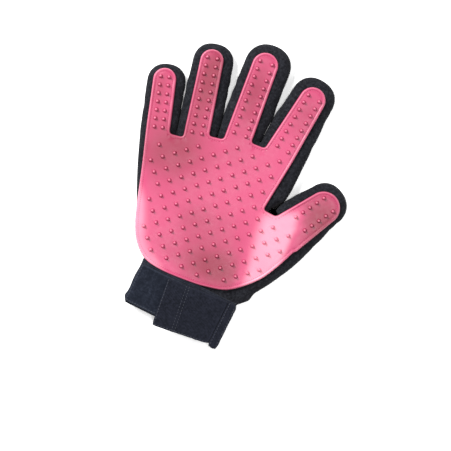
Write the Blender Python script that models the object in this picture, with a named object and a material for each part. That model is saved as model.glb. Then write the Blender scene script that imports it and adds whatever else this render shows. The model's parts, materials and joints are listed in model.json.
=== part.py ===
"""A right-hand pet grooming glove, lying on its back with the rubber face up.

Every finger is two hollow segments: a trough of back fabric with its side walls, a panel of
palm-side fabric that closes it, and a rubber pad with nubs on top. The hand part is made the same
way, and an elastic wrist band with a hook-and-loop tab closes the wrist.

Run it with: blender --background --python part.py
The origin is on the underside of the hand, +Y points to the fingertips, +X to the thumb and +Z
out of the rubber face.
"""

import math
from dataclasses import dataclass

import bmesh
import bpy
from mathutils import Matrix, Vector

MM = 0.001

# --- Cloth and rubber, from the table up -----------------------------------------------------
CLEARANCE = 0.3 * MM  # between pieces that touch
BACK_THICKNESS = 1.2 * MM
CAVITY_HEIGHT = 10.0 * MM  # room for the hand
WALL_THICKNESS = 1.4 * MM
FRONT_THICKNESS = 1.0 * MM
PAD_THICKNESS = 1.8 * MM

WALL_TOP = BACK_THICKNESS + CAVITY_HEIGHT
FRONT_LOW = WALL_TOP + CLEARANCE
FRONT_TOP = FRONT_LOW + FRONT_THICKNESS
PAD_LOW = FRONT_TOP + CLEARANCE
PAD_TOP = PAD_LOW + PAD_THICKNESS

# --- Nubs ------------------------------------------------------------------------------------
NUB_HEIGHT = 3.0 * MM
NUB_FOOT_RADIUS = 1.5 * MM
NUB_TIP_RADIUS = 0.8 * MM
NUB_SINK = 0.6 * MM  # how far a nub's foot reaches into the pad
NUB_SIDES = 6
FINGER_NUB_PITCH = 6.6 * MM
PALM_NUB_PITCH = 9.6 * MM
PALM_NUB_TURN = math.radians(34)
PALM_NUB_START = Vector((-17.0, 16.0)) * MM
PALM_NUB_MARGIN = 6.5 * MM  # from the pad's edge to a nub's centre
FINGER_ROWS_START = 2.0 * MM  # finger nubs start this far above the finger's root line
KNUCKLE_RISE = 12.0 * MM  # from a finger's root line to the rows that move with the finger

# --- The hand part ---------------------------------------------------------------------------
# Points of the sewn outline, from the wrist up the little-finger side, and from the thumb down.
OUTER_SIDE = [Vector(p) * MM for p in ((-61, -52), (-68.5, -30), (-76.5, -3))]
THUMB_SIDE = [Vector(p) * MM for p in ((56.5, -50), (41, -69.5))]
# Points of the rubber pad's smooth heel, from the thumb round to the little finger.
PAD_HEEL = [
    Vector(p) * MM
    for p in (
        (60.3, -30), (41, -59), (22, -72.6), (-12, -76.2), (-46.5, -70), (-60.8, -56), (-66.3, -36), (-72.6, -3),
    )
]
PAD_HEEL_STEPS = 4

# --- Wrist band and closure, in the cuff's own frame ----------------------------------------
CUFF_CENTRE = Vector((-9.2, -75.1)) * MM  # middle of the band's upper edge
CUFF_TURN = math.radians(-8.3)
BAND_LENGTH = 83.0 * MM  # across the flattened wrist
BAND_WIDTH = 37.0 * MM
BAND_THICKNESS = 2.0 * MM
BAND_CORNER = 5.0 * MM
BAND_CORNER_STEPS = 4
BAND_SLIT = (8.0 * MM, 27.0 * MM)  # where the band's two ends leave the wrist open
LOOP_THICKNESS = 0.8 * MM
LOOP_INSET = 2.5 * MM  # from the band's outer side
LOOP_END = 6.0 * MM
LOOP_MARGIN_TOP = 8.0 * MM
LOOP_MARGIN_FOOT = 1.5 * MM
HOOK_THICKNESS = 0.8 * MM
HOOK_LENGTH = 20.0 * MM
HOOK_MARGIN = 1.5 * MM
TAB_THICKNESS = 1.6 * MM
TAB_OVERHANG = 0.5 * MM  # how much wider than the band the tab is
TAB_RISE = 0.5 * MM  # how far its upper edge stands above the band's, at the fold
TAB_END_X = -27.0 * MM  # the free end, in the glove's frame
FOLD_WIDTH = 7.5 * MM

BAND_TOP = FRONT_TOP
LOOP_LOW = BAND_TOP + CLEARANCE
HOOK_LOW = LOOP_LOW + LOOP_THICKNESS + CLEARANCE
TAB_LOW = HOOK_LOW + HOOK_THICKNESS + CLEARANCE
TAB_TOP = TAB_LOW + TAB_THICKNESS
TAB_HINGE_X = BAND_LENGTH / 2 - FOLD_WIDTH  # in the cuff's frame

TIP_STEPS = 10

COLLECTION = "grooming_glove"
HELPERS = "grooming_glove_cutters"

# name: colour, roughness, metallic
MATERIALS = {
    "pink_rubber": ((0.80, 0.15, 0.27), 0.42, 0.0),
    "palm_cloth": ((0.018, 0.019, 0.022), 0.90, 0.0),
    "mesh_cloth": ((0.022, 0.024, 0.028), 0.95, 0.0),
    "elastic_band": ((0.020, 0.022, 0.030), 0.85, 0.0),
    "loop_pile": ((0.026, 0.029, 0.040), 1.00, 0.0),
    "hook_tape": ((0.012, 0.012, 0.015), 0.60, 0.0),
    "tab_webbing": ((0.012, 0.013, 0.018), 0.80, 0.0),
}


@dataclass(frozen=True)
class Finger:
    """One finger, in its own frame: along runs from the root line to the tip, across to its right.

    Each pair holds a size at the root line and the same size at the shoulder of the tip.
    """

    name: str
    root: tuple
    angle: float  # degrees from +Y, clockwise
    length: float
    left: tuple  # cloth, from the axis to the left edge
    right: tuple
    tip_margin: float  # from the cloth's tip to the rubber's
    pad_left: tuple
    pad_right: tuple
    nub_gap: float  # between the two nubs of a row
    first_nub: float  # from the rubber's tip to the first row
    crotch: tuple  # where the cloth parts from the neighbours', along the finger, left and right
    slot: tuple  # where the rubber does

    @property
    def across_axis(self):
        turn = math.radians(self.angle)
        return Vector((math.cos(turn), -math.sin(turn)))

    @property
    def along_axis(self):
        turn = math.radians(self.angle)
        return Vector((math.sin(turn), math.cos(turn)))

    def at(self, across, along):
        """The point at these two distances from the root, in metres."""
        return Vector(self.root) * MM + self.across_axis * across + self.along_axis * along

    @property
    def pad_length(self):
        return self.length - self.tip_margin

    def row(self, number):
        """How far along the finger a row of nubs is, counted from 0 at the tip."""
        return (self.pad_length - self.first_nub) * MM - FINGER_NUB_PITCH * number

    @property
    def moving_rows(self):
        """How many rows of nubs move with the finger."""
        return int((self.row(0) - KNUCKLE_RISE) / FINGER_NUB_PITCH) + 1

    @property
    def tip_hinge(self):
        """How far along the outer knuckle is, midway between two rows."""
        return self.row(self.moving_rows // 2 - 0.5)

    @property
    def base_hinge(self):
        """How far along the base knuckle is, midway between two rows."""
        return self.row(self.moving_rows - 0.5)

    def edges(self, left, right, length):
        """A function from along to the left and right edges' across values, and the shoulder."""
        shoulder = length - (left[1] + right[1]) / 2 * MM

        def span(along):
            share = min(max(along, 0.0) / shoulder, 1.0)
            return (
                -(left[0] + (left[1] - left[0]) * share) * MM,
                (right[0] + (right[1] - right[0]) * share) * MM,
            )

        return span, shoulder

    def cloth(self):
        return self.edges(self.left, self.right, self.length * MM)

    def pad(self):
        return self.edges(self.pad_left, self.pad_right, self.pad_length * MM)


FINGERS = (
    Finger("little", (-69.5, 29.5), -10.5, 52, (13.5, 13.5), (13.8, 14.6), 3.7, (9.4, 9.1), (9.4, 9.1),
           6.6, 7.0, (0.0, 2.0), (0.0, -2.0)),
    Finger("ring", (-39.7, 34.0), -6.2, 74, (14.9, 14.7), (15.0, 16.2), 5.1, (10.0, 9.2), (10.0, 9.2),
           7.8, 7.0, (2.0, 3.0), (-3.0, 2.0)),
    Finger("middle", (-7.9, 39.5), 2.2, 80, (16.2, 16.5), (16.6, 18.4), 7.4, (10.8, 10.3), (10.8, 10.3),
           10.0, 8.0, (0.0, 2.5), (-2.0, 3.0)),
    Finger("index", (26.0, 38.5), 13.5, 69, (16.6, 17.6), (20.3, 16.5), 7.4, (12.2, 10.4), (12.2, 10.4),
           10.0, 8.6, (-0.5, -34.0), (0.0, -41.5)),
    Finger("thumb", (48.1, -17.3), 38.0, 56, (18.6, 18.0), (23.5, 16.0), 6.0, (14.0, 11.5), (18.0, 14.5),
           12.5, 8.5, (8.5, 0.0), (2.7, 0.0)),
)


# --- Outlines in the plane -------------------------------------------------------------------


def offset_right(points, distance):
    """The open polyline moved to its right-hand side, with mitred corners."""
    moved = []
    for number, point in enumerate(points):
        before = points[max(number - 1, 0)]
        after = points[min(number + 1, len(points) - 1)]
        turns = [side.normalized() for side in (point - before, after - point) if side.length > 0]
        normals = [Vector((side.y, -side.x)) for side in turns]
        middle = sum(normals, Vector((0, 0))).normalized()
        moved.append(point + middle * (distance / middle.dot(normals[0])))
    return moved


def ribbon(points, width):
    """The closed outline of a strip along the polyline, on its right-hand side."""
    return points + offset_right(points, width)[::-1]


def smooth(points, steps):
    """A Catmull-Rom curve through the points."""
    ends = [2 * points[0] - points[1], *points, 2 * points[-1] - points[-2]]
    curve = []
    for a, b, c, d in zip(ends, ends[1:], ends[2:], ends[3:]):
        for step in range(steps):
            t = step / steps
            curve.append(
                0.5 * (2 * b + (c - a) * t + (2 * a - 5 * b + 4 * c - d) * t**2 + (3 * b - a - 3 * c + d) * t**3)
            )
    return [*curve, points[-1]]


def tip_outline(finger, edges, length, start):
    """A finger's end from start to its rounded tip: up the left edge and down the right one."""
    span, shoulder = edges
    left, right = span(shoulder)
    middle, half = (left + right) / 2, (right - left) / 2
    arc = [
        finger.at(middle - half * math.cos(turn), shoulder + (length - shoulder) * math.sin(turn))
        for turn in (math.pi * step / TIP_STEPS for step in range(TIP_STEPS + 1))
    ]
    first, last = span(start)
    return [finger.at(first, start), *arc, finger.at(last, start)]


def band_outline(finger, span, start, end):
    """A finger's middle stretch, from start to end."""
    (low_left, low_right), (high_left, high_right) = span(start), span(end)
    return [
        finger.at(low_left, start),
        finger.at(high_left, end),
        finger.at(high_right, end),
        finger.at(low_right, start),
    ]


def inset(edges, wall):
    """The edges moved in by a wall."""
    span, shoulder = edges

    def inner(along):
        left, right = span(along)
        return left + wall, right - wall

    return inner, shoulder


# --- Solids ----------------------------------------------------------------------------------


def clear_scene():
    for item in list(bpy.data.objects):
        bpy.data.objects.remove(item, do_unlink=True)


def collection(name):
    made = bpy.data.collections.new(name)
    bpy.context.scene.collection.children.link(made)
    return made


def material(name):
    """The named material, made when it is first asked for."""
    if name in bpy.data.materials:
        return bpy.data.materials[name]
    colour, roughness, metallic = MATERIALS[name]
    made = bpy.data.materials.new(name)
    made.use_nodes = True
    shader = made.node_tree.nodes["Principled BSDF"]
    shader.inputs["Base Color"].default_value = (*colour, 1.0)
    shader.inputs["Roughness"].default_value = roughness
    shader.inputs["Metallic"].default_value = metallic
    return made


def flat_curve(name, outline, low, thickness):
    """A closed outline as a filled 2D curve, thickened from low upwards."""
    curve = bpy.data.curves.new(name, "CURVE")
    curve.dimensions = "2D"
    curve.fill_mode = "BOTH"
    curve.extrude = thickness / 2
    line = curve.splines.new("POLY")
    line.points.add(len(outline) - 1)
    for point, place in zip(line.points, outline):
        point.co = (place.x, place.y, 0.0, 1.0)
    line.use_cyclic_u = True
    made = bpy.data.objects.new(name, curve)
    made.location.z = low + thickness / 2
    return made


def as_mesh(curve_object, home):
    """The curve's solid as a welded mesh object in the collection."""
    home.objects.link(curve_object)
    bpy.context.view_layer.update()
    graph = bpy.context.evaluated_depsgraph_get()
    mesh = bpy.data.meshes.new_from_object(curve_object.evaluated_get(graph))
    name, place = curve_object.name, curve_object.matrix_world.copy()
    curve = curve_object.data
    bpy.data.objects.remove(curve_object, do_unlink=True)
    bpy.data.curves.remove(curve)
    work = bmesh.new()
    work.from_mesh(mesh)
    bmesh.ops.remove_doubles(work, verts=work.verts, dist=0.001 * MM)
    bmesh.ops.recalc_face_normals(work, faces=work.faces)
    work.to_mesh(mesh)
    work.free()
    made = bpy.data.objects.new(name, mesh)
    made.matrix_world = place
    home.objects.link(made)
    return made


def plate(name, outline, low, thickness, finish, home, pivot=None):
    """A flat piece of even thickness. A moving piece has its origin on its joint's axis."""
    made = as_mesh(flat_curve(name, outline, low, thickness), home)
    made.data.materials.append(material(finish))
    if pivot is not None:
        made.data.transform(Matrix.Translation(made.location - pivot))
        made.location = pivot
    return made


def boolean(target, tool, operation):
    """Adds a Boolean modifier, with the tool kept out of the render."""
    change = target.modifiers.new(operation.lower(), "BOOLEAN")
    change.operation = operation
    change.object = tool
    change.solver = "EXACT"
    tool.hide_render = True
    tool.display_type = "WIRE"


def nubs(name, places, home):
    """All the nubs of one pad, as one helper mesh of tapered pegs."""
    mesh = bpy.data.meshes.new(name)
    work = bmesh.new()
    height = NUB_HEIGHT + NUB_SINK
    foot_radius = NUB_FOOT_RADIUS
    for place in places:
        centre = Vector((place.x, place.y, PAD_TOP - NUB_SINK + height / 2))
        bmesh.ops.create_cone(
            work,
            cap_ends=True,
            segments=NUB_SIDES,
            radius1=foot_radius,
            radius2=NUB_TIP_RADIUS,
            depth=height,
            matrix=Matrix.Translation(centre),
        )
    work.to_mesh(mesh)
    work.free()
    made = bpy.data.objects.new(name, mesh)
    home.objects.link(made)
    return made


def rubber_pad(name, outline, places, homes, pivot=None):
    """A pad of the rubber face with its nubs joined on."""
    parts, helpers = homes
    pad = plate(name, outline, PAD_LOW, PAD_THICKNESS, "pink_rubber", parts, pivot)
    if places:
        boolean(pad, nubs(name + "_nubs", places, helpers), "UNION")
    return pad


def trough(name, outline, hollow, homes, pivot):
    """Back cloth with its side walls, open at the top and where hollow runs past the outline."""
    parts, helpers = homes
    made = plate(name, outline, 0.0, WALL_TOP, "mesh_cloth", parts, pivot)
    cutter = plate(name + "_hollow", hollow, BACK_THICKNESS, WALL_TOP, "mesh_cloth", helpers)
    boolean(made, cutter, "DIFFERENCE")
    return made


# --- Places of the nubs ----------------------------------------------------------------------


def finger_rows(finger, low, high):
    """The two nubs of each row between low and high, along the finger."""
    middle = (finger.pad_right[1] - finger.pad_left[1]) / 2 * MM
    places = []
    number = 0
    while finger.row(number) > low:
        if finger.row(number) < high:
            for side in (-1, 1):
                places.append(finger.at(middle + side * finger.nub_gap / 2 * MM, finger.row(number)))
        number += 1
    return places


def distance_to_edge(point, outline):
    """The distance from a point to a closed outline, negative outside it."""
    nearest, inside = math.inf, False
    for a, b in zip(outline, outline[1:] + outline[:1]):
        side = b - a
        share = max(0.0, min(1.0, (point - a).dot(side) / side.length_squared))
        nearest = min(nearest, (a + side * share - point).length)
        if (a.y > point.y) != (b.y > point.y):
            if point.x < a.x + (point.y - a.y) / (b.y - a.y) * (b.x - a.x):
                inside = not inside
    return nearest if inside else -nearest


def in_finger(point):
    """True if the point is where a finger's own rows are."""
    for finger in FINGERS:
        offset = point - finger.at(0, 0)
        along, across = offset.dot(finger.along_axis), offset.dot(finger.across_axis)
        left, right = finger.pad()[0](0)
        if along > FINGER_ROWS_START and left < across < right:
            return True
    return False


def palm_grid(outline):
    """The turned square grid of nubs on the palm, clear of its edge and of the fingers' rows."""
    reach = 14
    across = Vector((math.cos(PALM_NUB_TURN), math.sin(PALM_NUB_TURN))) * PALM_NUB_PITCH
    along = Vector((-across.y, across.x))
    grid = [
        PALM_NUB_START + across * i + along * j
        for i in range(-reach, reach + 1)
        for j in range(-reach, reach + 1)
    ]
    taken = [place for finger in FINGERS for place in finger_rows(finger, FINGER_ROWS_START, finger.base_hinge)]
    return [
        point
        for point in grid
        if distance_to_edge(point, outline) > PALM_NUB_MARGIN
        and not in_finger(point)
        and min((point - other).length for other in taken) > FINGER_NUB_PITCH * 0.9
    ]


# --- Sub-assemblies --------------------------------------------------------------------------


def edge(finger, span, side, places):
    """Points on the finger's left or right edge (side 0 or 1), at these places along it."""
    return [finger.at(span(along)[side], along) for along in places]


def stub_end(finger):
    """How far along the finger its stub on the hand part ends."""
    return finger.base_hinge - CLEARANCE / 2


def hand_sides():
    """The polylines of the hand part's side walls, clockwise, with the inside to their right."""
    little, thumb = FINGERS[0], FINGERS[-1]
    wrist = [cuff_point(side * BAND_LENGTH / 2, 0) for side in (-1, 1)]
    outer = edge(little, little.cloth()[0], 0, (0, stub_end(little)))
    sides = {"outer_side_wall": [wrist[0], *OUTER_SIDE, *outer]}
    for first, second in zip(FINGERS, FINGERS[1:]):
        foot = first.crotch[1] * MM
        down = [stub_end(first), foot] if foot > 0 else [stub_end(first), 0, foot]
        up = [second.crotch[0] * MM, stub_end(second)]
        line = edge(first, first.cloth()[0], 1, down) + edge(second, second.cloth()[0], 0, up)
        sides[f"{first.name}_{second.name}_gusset"] = line
    inner = edge(thumb, thumb.cloth()[0], 1, (stub_end(thumb), 0))
    sides["thumb_side_wall"] = [*inner, *THUMB_SIDE, wrist[1]]
    return sides


def hand_outline():
    """The sewn outline of the hand part, clockwise from the wrist, with a stub for each finger."""
    outline = []
    for line in hand_sides().values():
        outline += line
    return outline


def pad_outline():
    """The rubber on the hand part, clockwise from the little finger."""
    outline = []
    for finger in FINGERS:
        left, right = (slot * MM for slot in finger.slot)
        outline += edge(finger, finger.pad()[0], 0, (left, stub_end(finger)))
        outline += edge(finger, finger.pad()[0], 1, (stub_end(finger), right))
    return [*outline, *smooth(PAD_HEEL, PAD_HEEL_STEPS)]


def hand_part(homes):
    """Back and front cloth, side walls and the palm's rubber pad."""
    parts = homes[0]
    outline = hand_outline()
    plate("hand_back_panel", outline, 0.0, BACK_THICKNESS, "mesh_cloth", parts)
    plate("hand_front_panel", outline, FRONT_LOW, FRONT_THICKNESS, "palm_cloth", parts)
    for name, line in hand_sides().items():
        low = BACK_THICKNESS + CLEARANCE
        plate(name, ribbon(line, WALL_THICKNESS), low, WALL_TOP - low, "mesh_cloth", parts)
    rubber = pad_outline()
    places = palm_grid(rubber)
    for finger in FINGERS:
        places += finger_rows(finger, FINGER_ROWS_START, finger.base_hinge)
    rubber_pad("palm_pad", rubber, places, homes)


def finger_segment(finger, name, start, end, pivot, homes):
    """One segment of a finger. With no end it runs to the tip."""
    parts = homes[0]
    cloth, pad = finger.cloth(), finger.pad()
    if end is None:
        outline = tip_outline(finger, cloth, finger.length * MM, start)
        inner = inset(cloth, WALL_THICKNESS)
        hollow = tip_outline(finger, inner, finger.length * MM - WALL_THICKNESS, start - WALL_THICKNESS)
        rubber = tip_outline(finger, pad, finger.pad_length * MM, start)
    else:
        outline = band_outline(finger, cloth[0], start, end)
        inner = inset(cloth, WALL_THICKNESS)[0]
        hollow = band_outline(finger, inner, start - WALL_THICKNESS, end + WALL_THICKNESS)
        rubber = band_outline(finger, pad[0], start, end)
    trough(name + "_back", outline, hollow, homes, pivot)
    plate(name + "_front", outline, FRONT_LOW, FRONT_THICKNESS, "palm_cloth", parts, pivot)
    high = finger.length * MM if end is None else end
    rubber_pad(name + "_pad", rubber, finger_rows(finger, start, high), homes, pivot)


def finger_parts(finger, homes):
    """The base and tip segments, each turning about a line across the top of the rubber."""
    for name, start, end in (
        (f"{finger.name}_base", finger.base_hinge, finger.tip_hinge - CLEARANCE / 2),
        (f"{finger.name}_tip", finger.tip_hinge, None),
    ):
        axis = finger.at(0, start)
        pivot = Vector((axis.x, axis.y, PAD_TOP))
        finger_segment(finger, name, start + CLEARANCE / 2, end, pivot, homes)


def cuff_point(across, along):
    """A point of the cuff's frame, in the glove's frame."""
    turned = Matrix.Rotation(CUFF_TURN, 2) @ Vector((across, along))
    return CUFF_CENTRE + turned


def cuff_strip(span, top, foot):
    """The outline of a strip across the cuff."""
    return [cuff_point(x, y) for x, y in ((span[0], foot), (span[0], top), (span[1], top), (span[1], foot))]


def band_profile():
    """The flattened ring of the wrist band seen from its end, open at the slit on top."""
    half = BAND_LENGTH / 2

    def ring(grow):
        """The ring from the slit's left edge round the back to its right edge."""
        radius = BAND_CORNER - grow
        low, high = grow, BAND_TOP - grow
        points = [Vector((BAND_SLIT[0], high))]
        for centre_x, centre_z, first in (
            (-half + BAND_CORNER, BAND_TOP - BAND_CORNER, 0.5),
            (-half + BAND_CORNER, BAND_CORNER, 1.0),
            (half - BAND_CORNER, BAND_CORNER, 1.5),
            (half - BAND_CORNER, BAND_TOP - BAND_CORNER, 2.0),
        ):
            for step in range(BAND_CORNER_STEPS + 1):
                turn = math.pi * (first + 0.5 * step / BAND_CORNER_STEPS)
                points.append(Vector((centre_x + radius * math.cos(turn), centre_z + radius * math.sin(turn))))
        points.append(Vector((BAND_SLIT[1], high)))
        return points

    return ring(0.0) + ring(BAND_THICKNESS)[::-1]


def wrist_closure(homes):
    """The elastic band, its loop pile, and the tab with hooks that closes over it."""
    parts = homes[0]
    band = as_mesh(flat_curve("wrist_band", band_profile(), 0.0, BAND_WIDTH), parts)
    band.data.materials.append(material("elastic_band"))
    stand = Matrix(((1, 0, 0, 0), (0, 0, 1, -BAND_WIDTH - CLEARANCE), (0, 1, 0, 0), (0, 0, 0, 1)))
    place = Matrix.Translation((*CUFF_CENTRE, 0)) @ Matrix.Rotation(CUFF_TURN, 4, "Z")
    band.data.transform(place @ stand @ Matrix.Translation(band.location))
    band.data.flip_normals()
    band.location = (0, 0, 0)

    covered = (LOOP_INSET - BAND_LENGTH / 2, LOOP_END)
    loop = cuff_strip(covered, -LOOP_MARGIN_TOP, LOOP_MARGIN_FOOT - BAND_WIDTH)
    plate("loop_patch", loop, LOOP_LOW, LOOP_THICKNESS, "loop_pile", parts)
    fold = cuff_strip((TAB_HINGE_X + CLEARANCE / 2, BAND_LENGTH / 2), -CLEARANCE, -BAND_WIDTH - CLEARANCE)
    plate("tab_fold", fold, LOOP_LOW, TAB_TOP - LOOP_LOW, "tab_webbing", parts)

    hinge = cuff_point(TAB_HINGE_X, -BAND_WIDTH / 2)
    pivot = Vector((hinge.x, hinge.y, TAB_TOP))
    axis = cuff_point(0, 1) - cuff_point(0, 0)

    def hinge_x(y):
        """Where the tab's sewn edge is at this height."""
        return hinge.x + axis.x / axis.y * (y - hinge.y) - CLEARANCE / 2

    top = cuff_point(TAB_HINGE_X, 0).y + TAB_RISE
    foot = top - BAND_WIDTH - TAB_OVERHANG
    tab = [
        Vector((TAB_END_X, foot)),
        Vector((TAB_END_X, top)),
        Vector((hinge_x(top), top)),
        Vector((hinge_x(foot), foot)),
    ]
    plate("closure_tab", tab, TAB_LOW, TAB_THICKNESS, "tab_webbing", parts, pivot)
    low, high = foot + HOOK_MARGIN, top - HOOK_MARGIN
    near, far = TAB_END_X + HOOK_MARGIN, TAB_END_X + HOOK_LENGTH
    hook = [Vector(p) for p in ((near, low), (near, high), (far, high), (far, low))]
    plate("hook_patch", hook, HOOK_LOW, HOOK_THICKNESS, "hook_tape", parts, pivot)


def main():
    clear_scene()
    homes = collection(COLLECTION), collection(HELPERS)
    hand_part(homes)
    for finger in FINGERS:
        finger_parts(finger, homes)
    wrist_closure(homes)


main()
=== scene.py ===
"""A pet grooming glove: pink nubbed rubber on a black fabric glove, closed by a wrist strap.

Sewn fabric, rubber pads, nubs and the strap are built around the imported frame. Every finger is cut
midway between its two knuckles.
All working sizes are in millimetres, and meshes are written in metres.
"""

import json
import logging
import math
from collections.abc import Callable, Iterator
from dataclasses import dataclass, field
from enum import Enum

import bpy
import numpy as np
from mathutils.geometry import delaunay_2d_cdt
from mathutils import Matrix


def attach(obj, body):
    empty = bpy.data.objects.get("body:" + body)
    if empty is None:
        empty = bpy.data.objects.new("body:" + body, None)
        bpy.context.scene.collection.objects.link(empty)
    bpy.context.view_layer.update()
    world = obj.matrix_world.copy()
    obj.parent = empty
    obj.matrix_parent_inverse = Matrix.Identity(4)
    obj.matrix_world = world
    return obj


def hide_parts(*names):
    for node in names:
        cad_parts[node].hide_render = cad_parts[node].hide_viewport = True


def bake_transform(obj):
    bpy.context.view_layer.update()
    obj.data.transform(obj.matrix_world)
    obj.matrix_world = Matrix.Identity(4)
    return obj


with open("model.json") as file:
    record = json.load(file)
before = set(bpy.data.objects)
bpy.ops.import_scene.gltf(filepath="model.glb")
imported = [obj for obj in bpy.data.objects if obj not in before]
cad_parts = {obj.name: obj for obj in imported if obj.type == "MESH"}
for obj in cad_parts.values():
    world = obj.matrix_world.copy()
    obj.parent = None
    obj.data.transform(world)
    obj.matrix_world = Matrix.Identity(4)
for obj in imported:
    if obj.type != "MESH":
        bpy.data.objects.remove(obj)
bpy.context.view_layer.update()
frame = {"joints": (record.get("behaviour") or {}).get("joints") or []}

LOG = logging.getLogger("grooming_glove")
MM = 0.001
Array = np.ndarray

# --- Heights over the table ------------------------------------------------------------------
SEAM_HEIGHT = 5.6  # where the front and the back of the glove are sewn together
CLOTH_TOP = 12.2
CLOTH_FLOOR = 0.25
CLOTH_ROLL = 10.5  # how far in from a seam the fabric reaches its full height
CLOTH_WALL = 0.9
PAD_THICKNESS = 1.9

# --- Fineness --------------------------------------------------------------------------------
FINGER_STEP = 1.1  # between the outline's points along a finger
CURVE_STEP = 1.2  # and along the palm
NUB_SIDES = 10
BATCH = 1500  # places that are compared with a whole polyline at once


# --- Shapes in the plane ---------------------------------------------------------------------


def soft_step(value: Array, low: float, high: float) -> Array:
    """0 below low, 1 above high and the smooth cubic 3t^2 - 2t^3 between them."""
    share = np.clip((np.asarray(value, float) - low) / (high - low), 0, 1)
    return share * share * (3 - 2 * share)


def dome(distance: Array, reach: float, power: float = 2.2) -> Array:
    """A superellipse's rise from 0 at the edge to 1 at reach: (1 - (1 - d/reach)^p)^(1/p)."""
    share = np.clip(distance / reach, 0, 1)
    return (1 - (1 - share) ** power) ** (1 / power)


def curve_through(points: Array, step: float) -> Array:
    """A centripetal-like Catmull-Rom curve through the points, resampled at even steps.

    Args:
        points: the points, one a row.
        step: distance between samples.

    Returns:
        The samples, with the first and the last point kept.
    """
    points = np.asarray(points, float)
    ends = np.vstack([2 * points[0] - points[1], points, 2 * points[-1] - points[-2]])
    t = np.linspace(0, 1, 24, endpoint=False)[:, None, None]
    a, b, c, d = (ends[k : len(ends) - 3 + k][None] for k in range(4))
    spans = 0.5 * (2 * b + (c - a) * t + (2 * a - 5 * b + 4 * c - d) * t**2 + (3 * b - a - 3 * c + d) * t**3)
    dense = np.vstack([spans.transpose(1, 0, 2).reshape(-1, 2), points[-1:]])
    return resample(dense, step)


def resample(points: Array, step: float) -> Array:
    """The open polyline at even steps along its length, ends kept.

    Args:
        points: the polyline, one point a row.
        step: about how far apart the new points are.

    Returns:
        The new points.
    """
    travel = path_length(points)
    count = max(2, int(round(travel[-1] / step)) + 1)
    even = np.linspace(0, travel[-1], count)
    return np.column_stack([np.interp(even, travel, points[:, k]) for k in range(points.shape[1])])


def path_length(points: Array) -> Array:
    """The distance travelled along the polyline at each of its points."""
    return np.concatenate([[0], np.cumsum(np.linalg.norm(np.diff(points, axis=0), axis=1))])


def fillet(before: Array, corner: Array, after: Array, radius: float, steps: int = 5) -> Array:
    """A rounded corner: a quadratic curve that leaves and joins the sides at radius from it.

    Args:
        before: a place on the side that leads to the corner.
        corner: the sharp corner.
        after: a place on the side that leaves it.
        radius: how far from the corner the curve starts and ends.
        steps: how many points the curve has.

    Returns:
        The curve's points.
    """
    t = np.linspace(0, 1, steps)[:, None]
    start = corner + (before - corner) / np.linalg.norm(before - corner) * radius
    end = corner + (after - corner) / np.linalg.norm(after - corner) * radius
    return (1 - t) ** 2 * start + 2 * t * (1 - t) * corner + t**2 * end


def batches(places: Array) -> list[Array]:
    """The places in parts of about one batch."""
    return np.array_split(places, max(1, len(places) // BATCH))


@dataclass
class Edge:
    """A polyline that distances are measured to."""

    points: Array
    closed: bool = False

    def distance(self, places: Array) -> tuple[Array, Array]:
        """Distance to the nearest piece of the polyline, and how far along the polyline that is.

        Args:
            places: x and y of each place.

        Returns:
            Both, one value a place.
        """
        ends = np.vstack([self.points, self.points[:1]]) if self.closed else self.points
        a, side = ends[:-1], np.diff(ends, axis=0)
        length2 = np.maximum((side**2).sum(1), 1e-12)
        travel = path_length(ends)
        near, along = [], []
        for part in batches(places):
            off = part[:, None] - a[None]
            share = np.clip((off * side).sum(2) / length2, 0, 1)
            gap = ((off - share[..., None] * side) ** 2).sum(2)
            best = gap.argmin(1)
            rows = np.arange(len(part))
            near.append(np.sqrt(gap[rows, best]))
            along.append(travel[best] + share[rows, best] * np.sqrt(length2[best]))
        return np.concatenate(near), np.concatenate(along)

    def holds(self, places: Array) -> Array:
        """True for the places inside the closed polyline, by counting crossings.

        Args:
            places: x and y of each place.

        Returns:
            One truth value a place.
        """
        a, b, inside = self.points, np.roll(self.points, -1, axis=0), []
        climb = b[:, 1] - a[:, 1]
        climb = np.where(np.abs(climb) < 1e-12, 1e-12, climb)
        for part in batches(places):
            x, y = part[:, :1], part[:, 1:]
            spans = (a[:, 1] > y) != (b[:, 1] > y)
            crossed = spans & (x < a[:, 0] + (y - a[:, 1]) / climb * (b[:, 0] - a[:, 0]))
            inside.append(crossed.sum(1) % 2 == 1)
        return np.concatenate(inside)


@dataclass(frozen=True)
class Ripple:
    """A smooth uneven field: a seeded sum of plane waves of about one length."""

    seed: int
    wave: float
    waves: int = 7

    def at(self, places: Array) -> Array:
        """The field's value, about -1 to 1: the mean of sin(k.p + phase) scaled to unit spread.

        Args:
            places: x and y of each place.

        Returns:
            One value a place.
        """
        draw = np.random.default_rng(self.seed)
        angle, phase = draw.uniform(0, 2 * np.pi, (2, self.waves))
        number = 2 * np.pi / (self.wave * draw.uniform(0.7, 1.5, self.waves))
        turn = places[:, :1] * np.cos(angle) * number + places[:, 1:2] * np.sin(angle) * number + phase
        return np.sin(turn).sum(1) / math.sqrt(self.waves)


# --- Fingers ---------------------------------------------------------------------------------


@dataclass(frozen=True)
class Silhouette:
    """Half-widths of a finger at its root line and at its shoulder, and its rounded end."""

    left: tuple[float, float]
    right: tuple[float, float]
    length: float
    power: float = 2.0

    @property
    def shoulder(self) -> float:
        """How far along the rounded end starts."""
        return self.length - (self.left[1] + self.right[1]) / 2

    def half(self, along: Array, side: int) -> Array:
        """Distance from the axis to an edge: linear up to the shoulder, then a superellipse.

        Args:
            along: distances along the finger.
            side: -1 for the left edge, 1 for the right one.

        Returns:
            The half-width at each of them.
        """
        root, tip = self.right if side > 0 else self.left
        width = root + (tip - root) * np.clip(along / self.shoulder, -0.35, 1)
        over = np.clip((along - self.shoulder) / (self.length - self.shoulder), 0, 1)
        return width * (1 - over**self.power) ** (1 / self.power)


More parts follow.
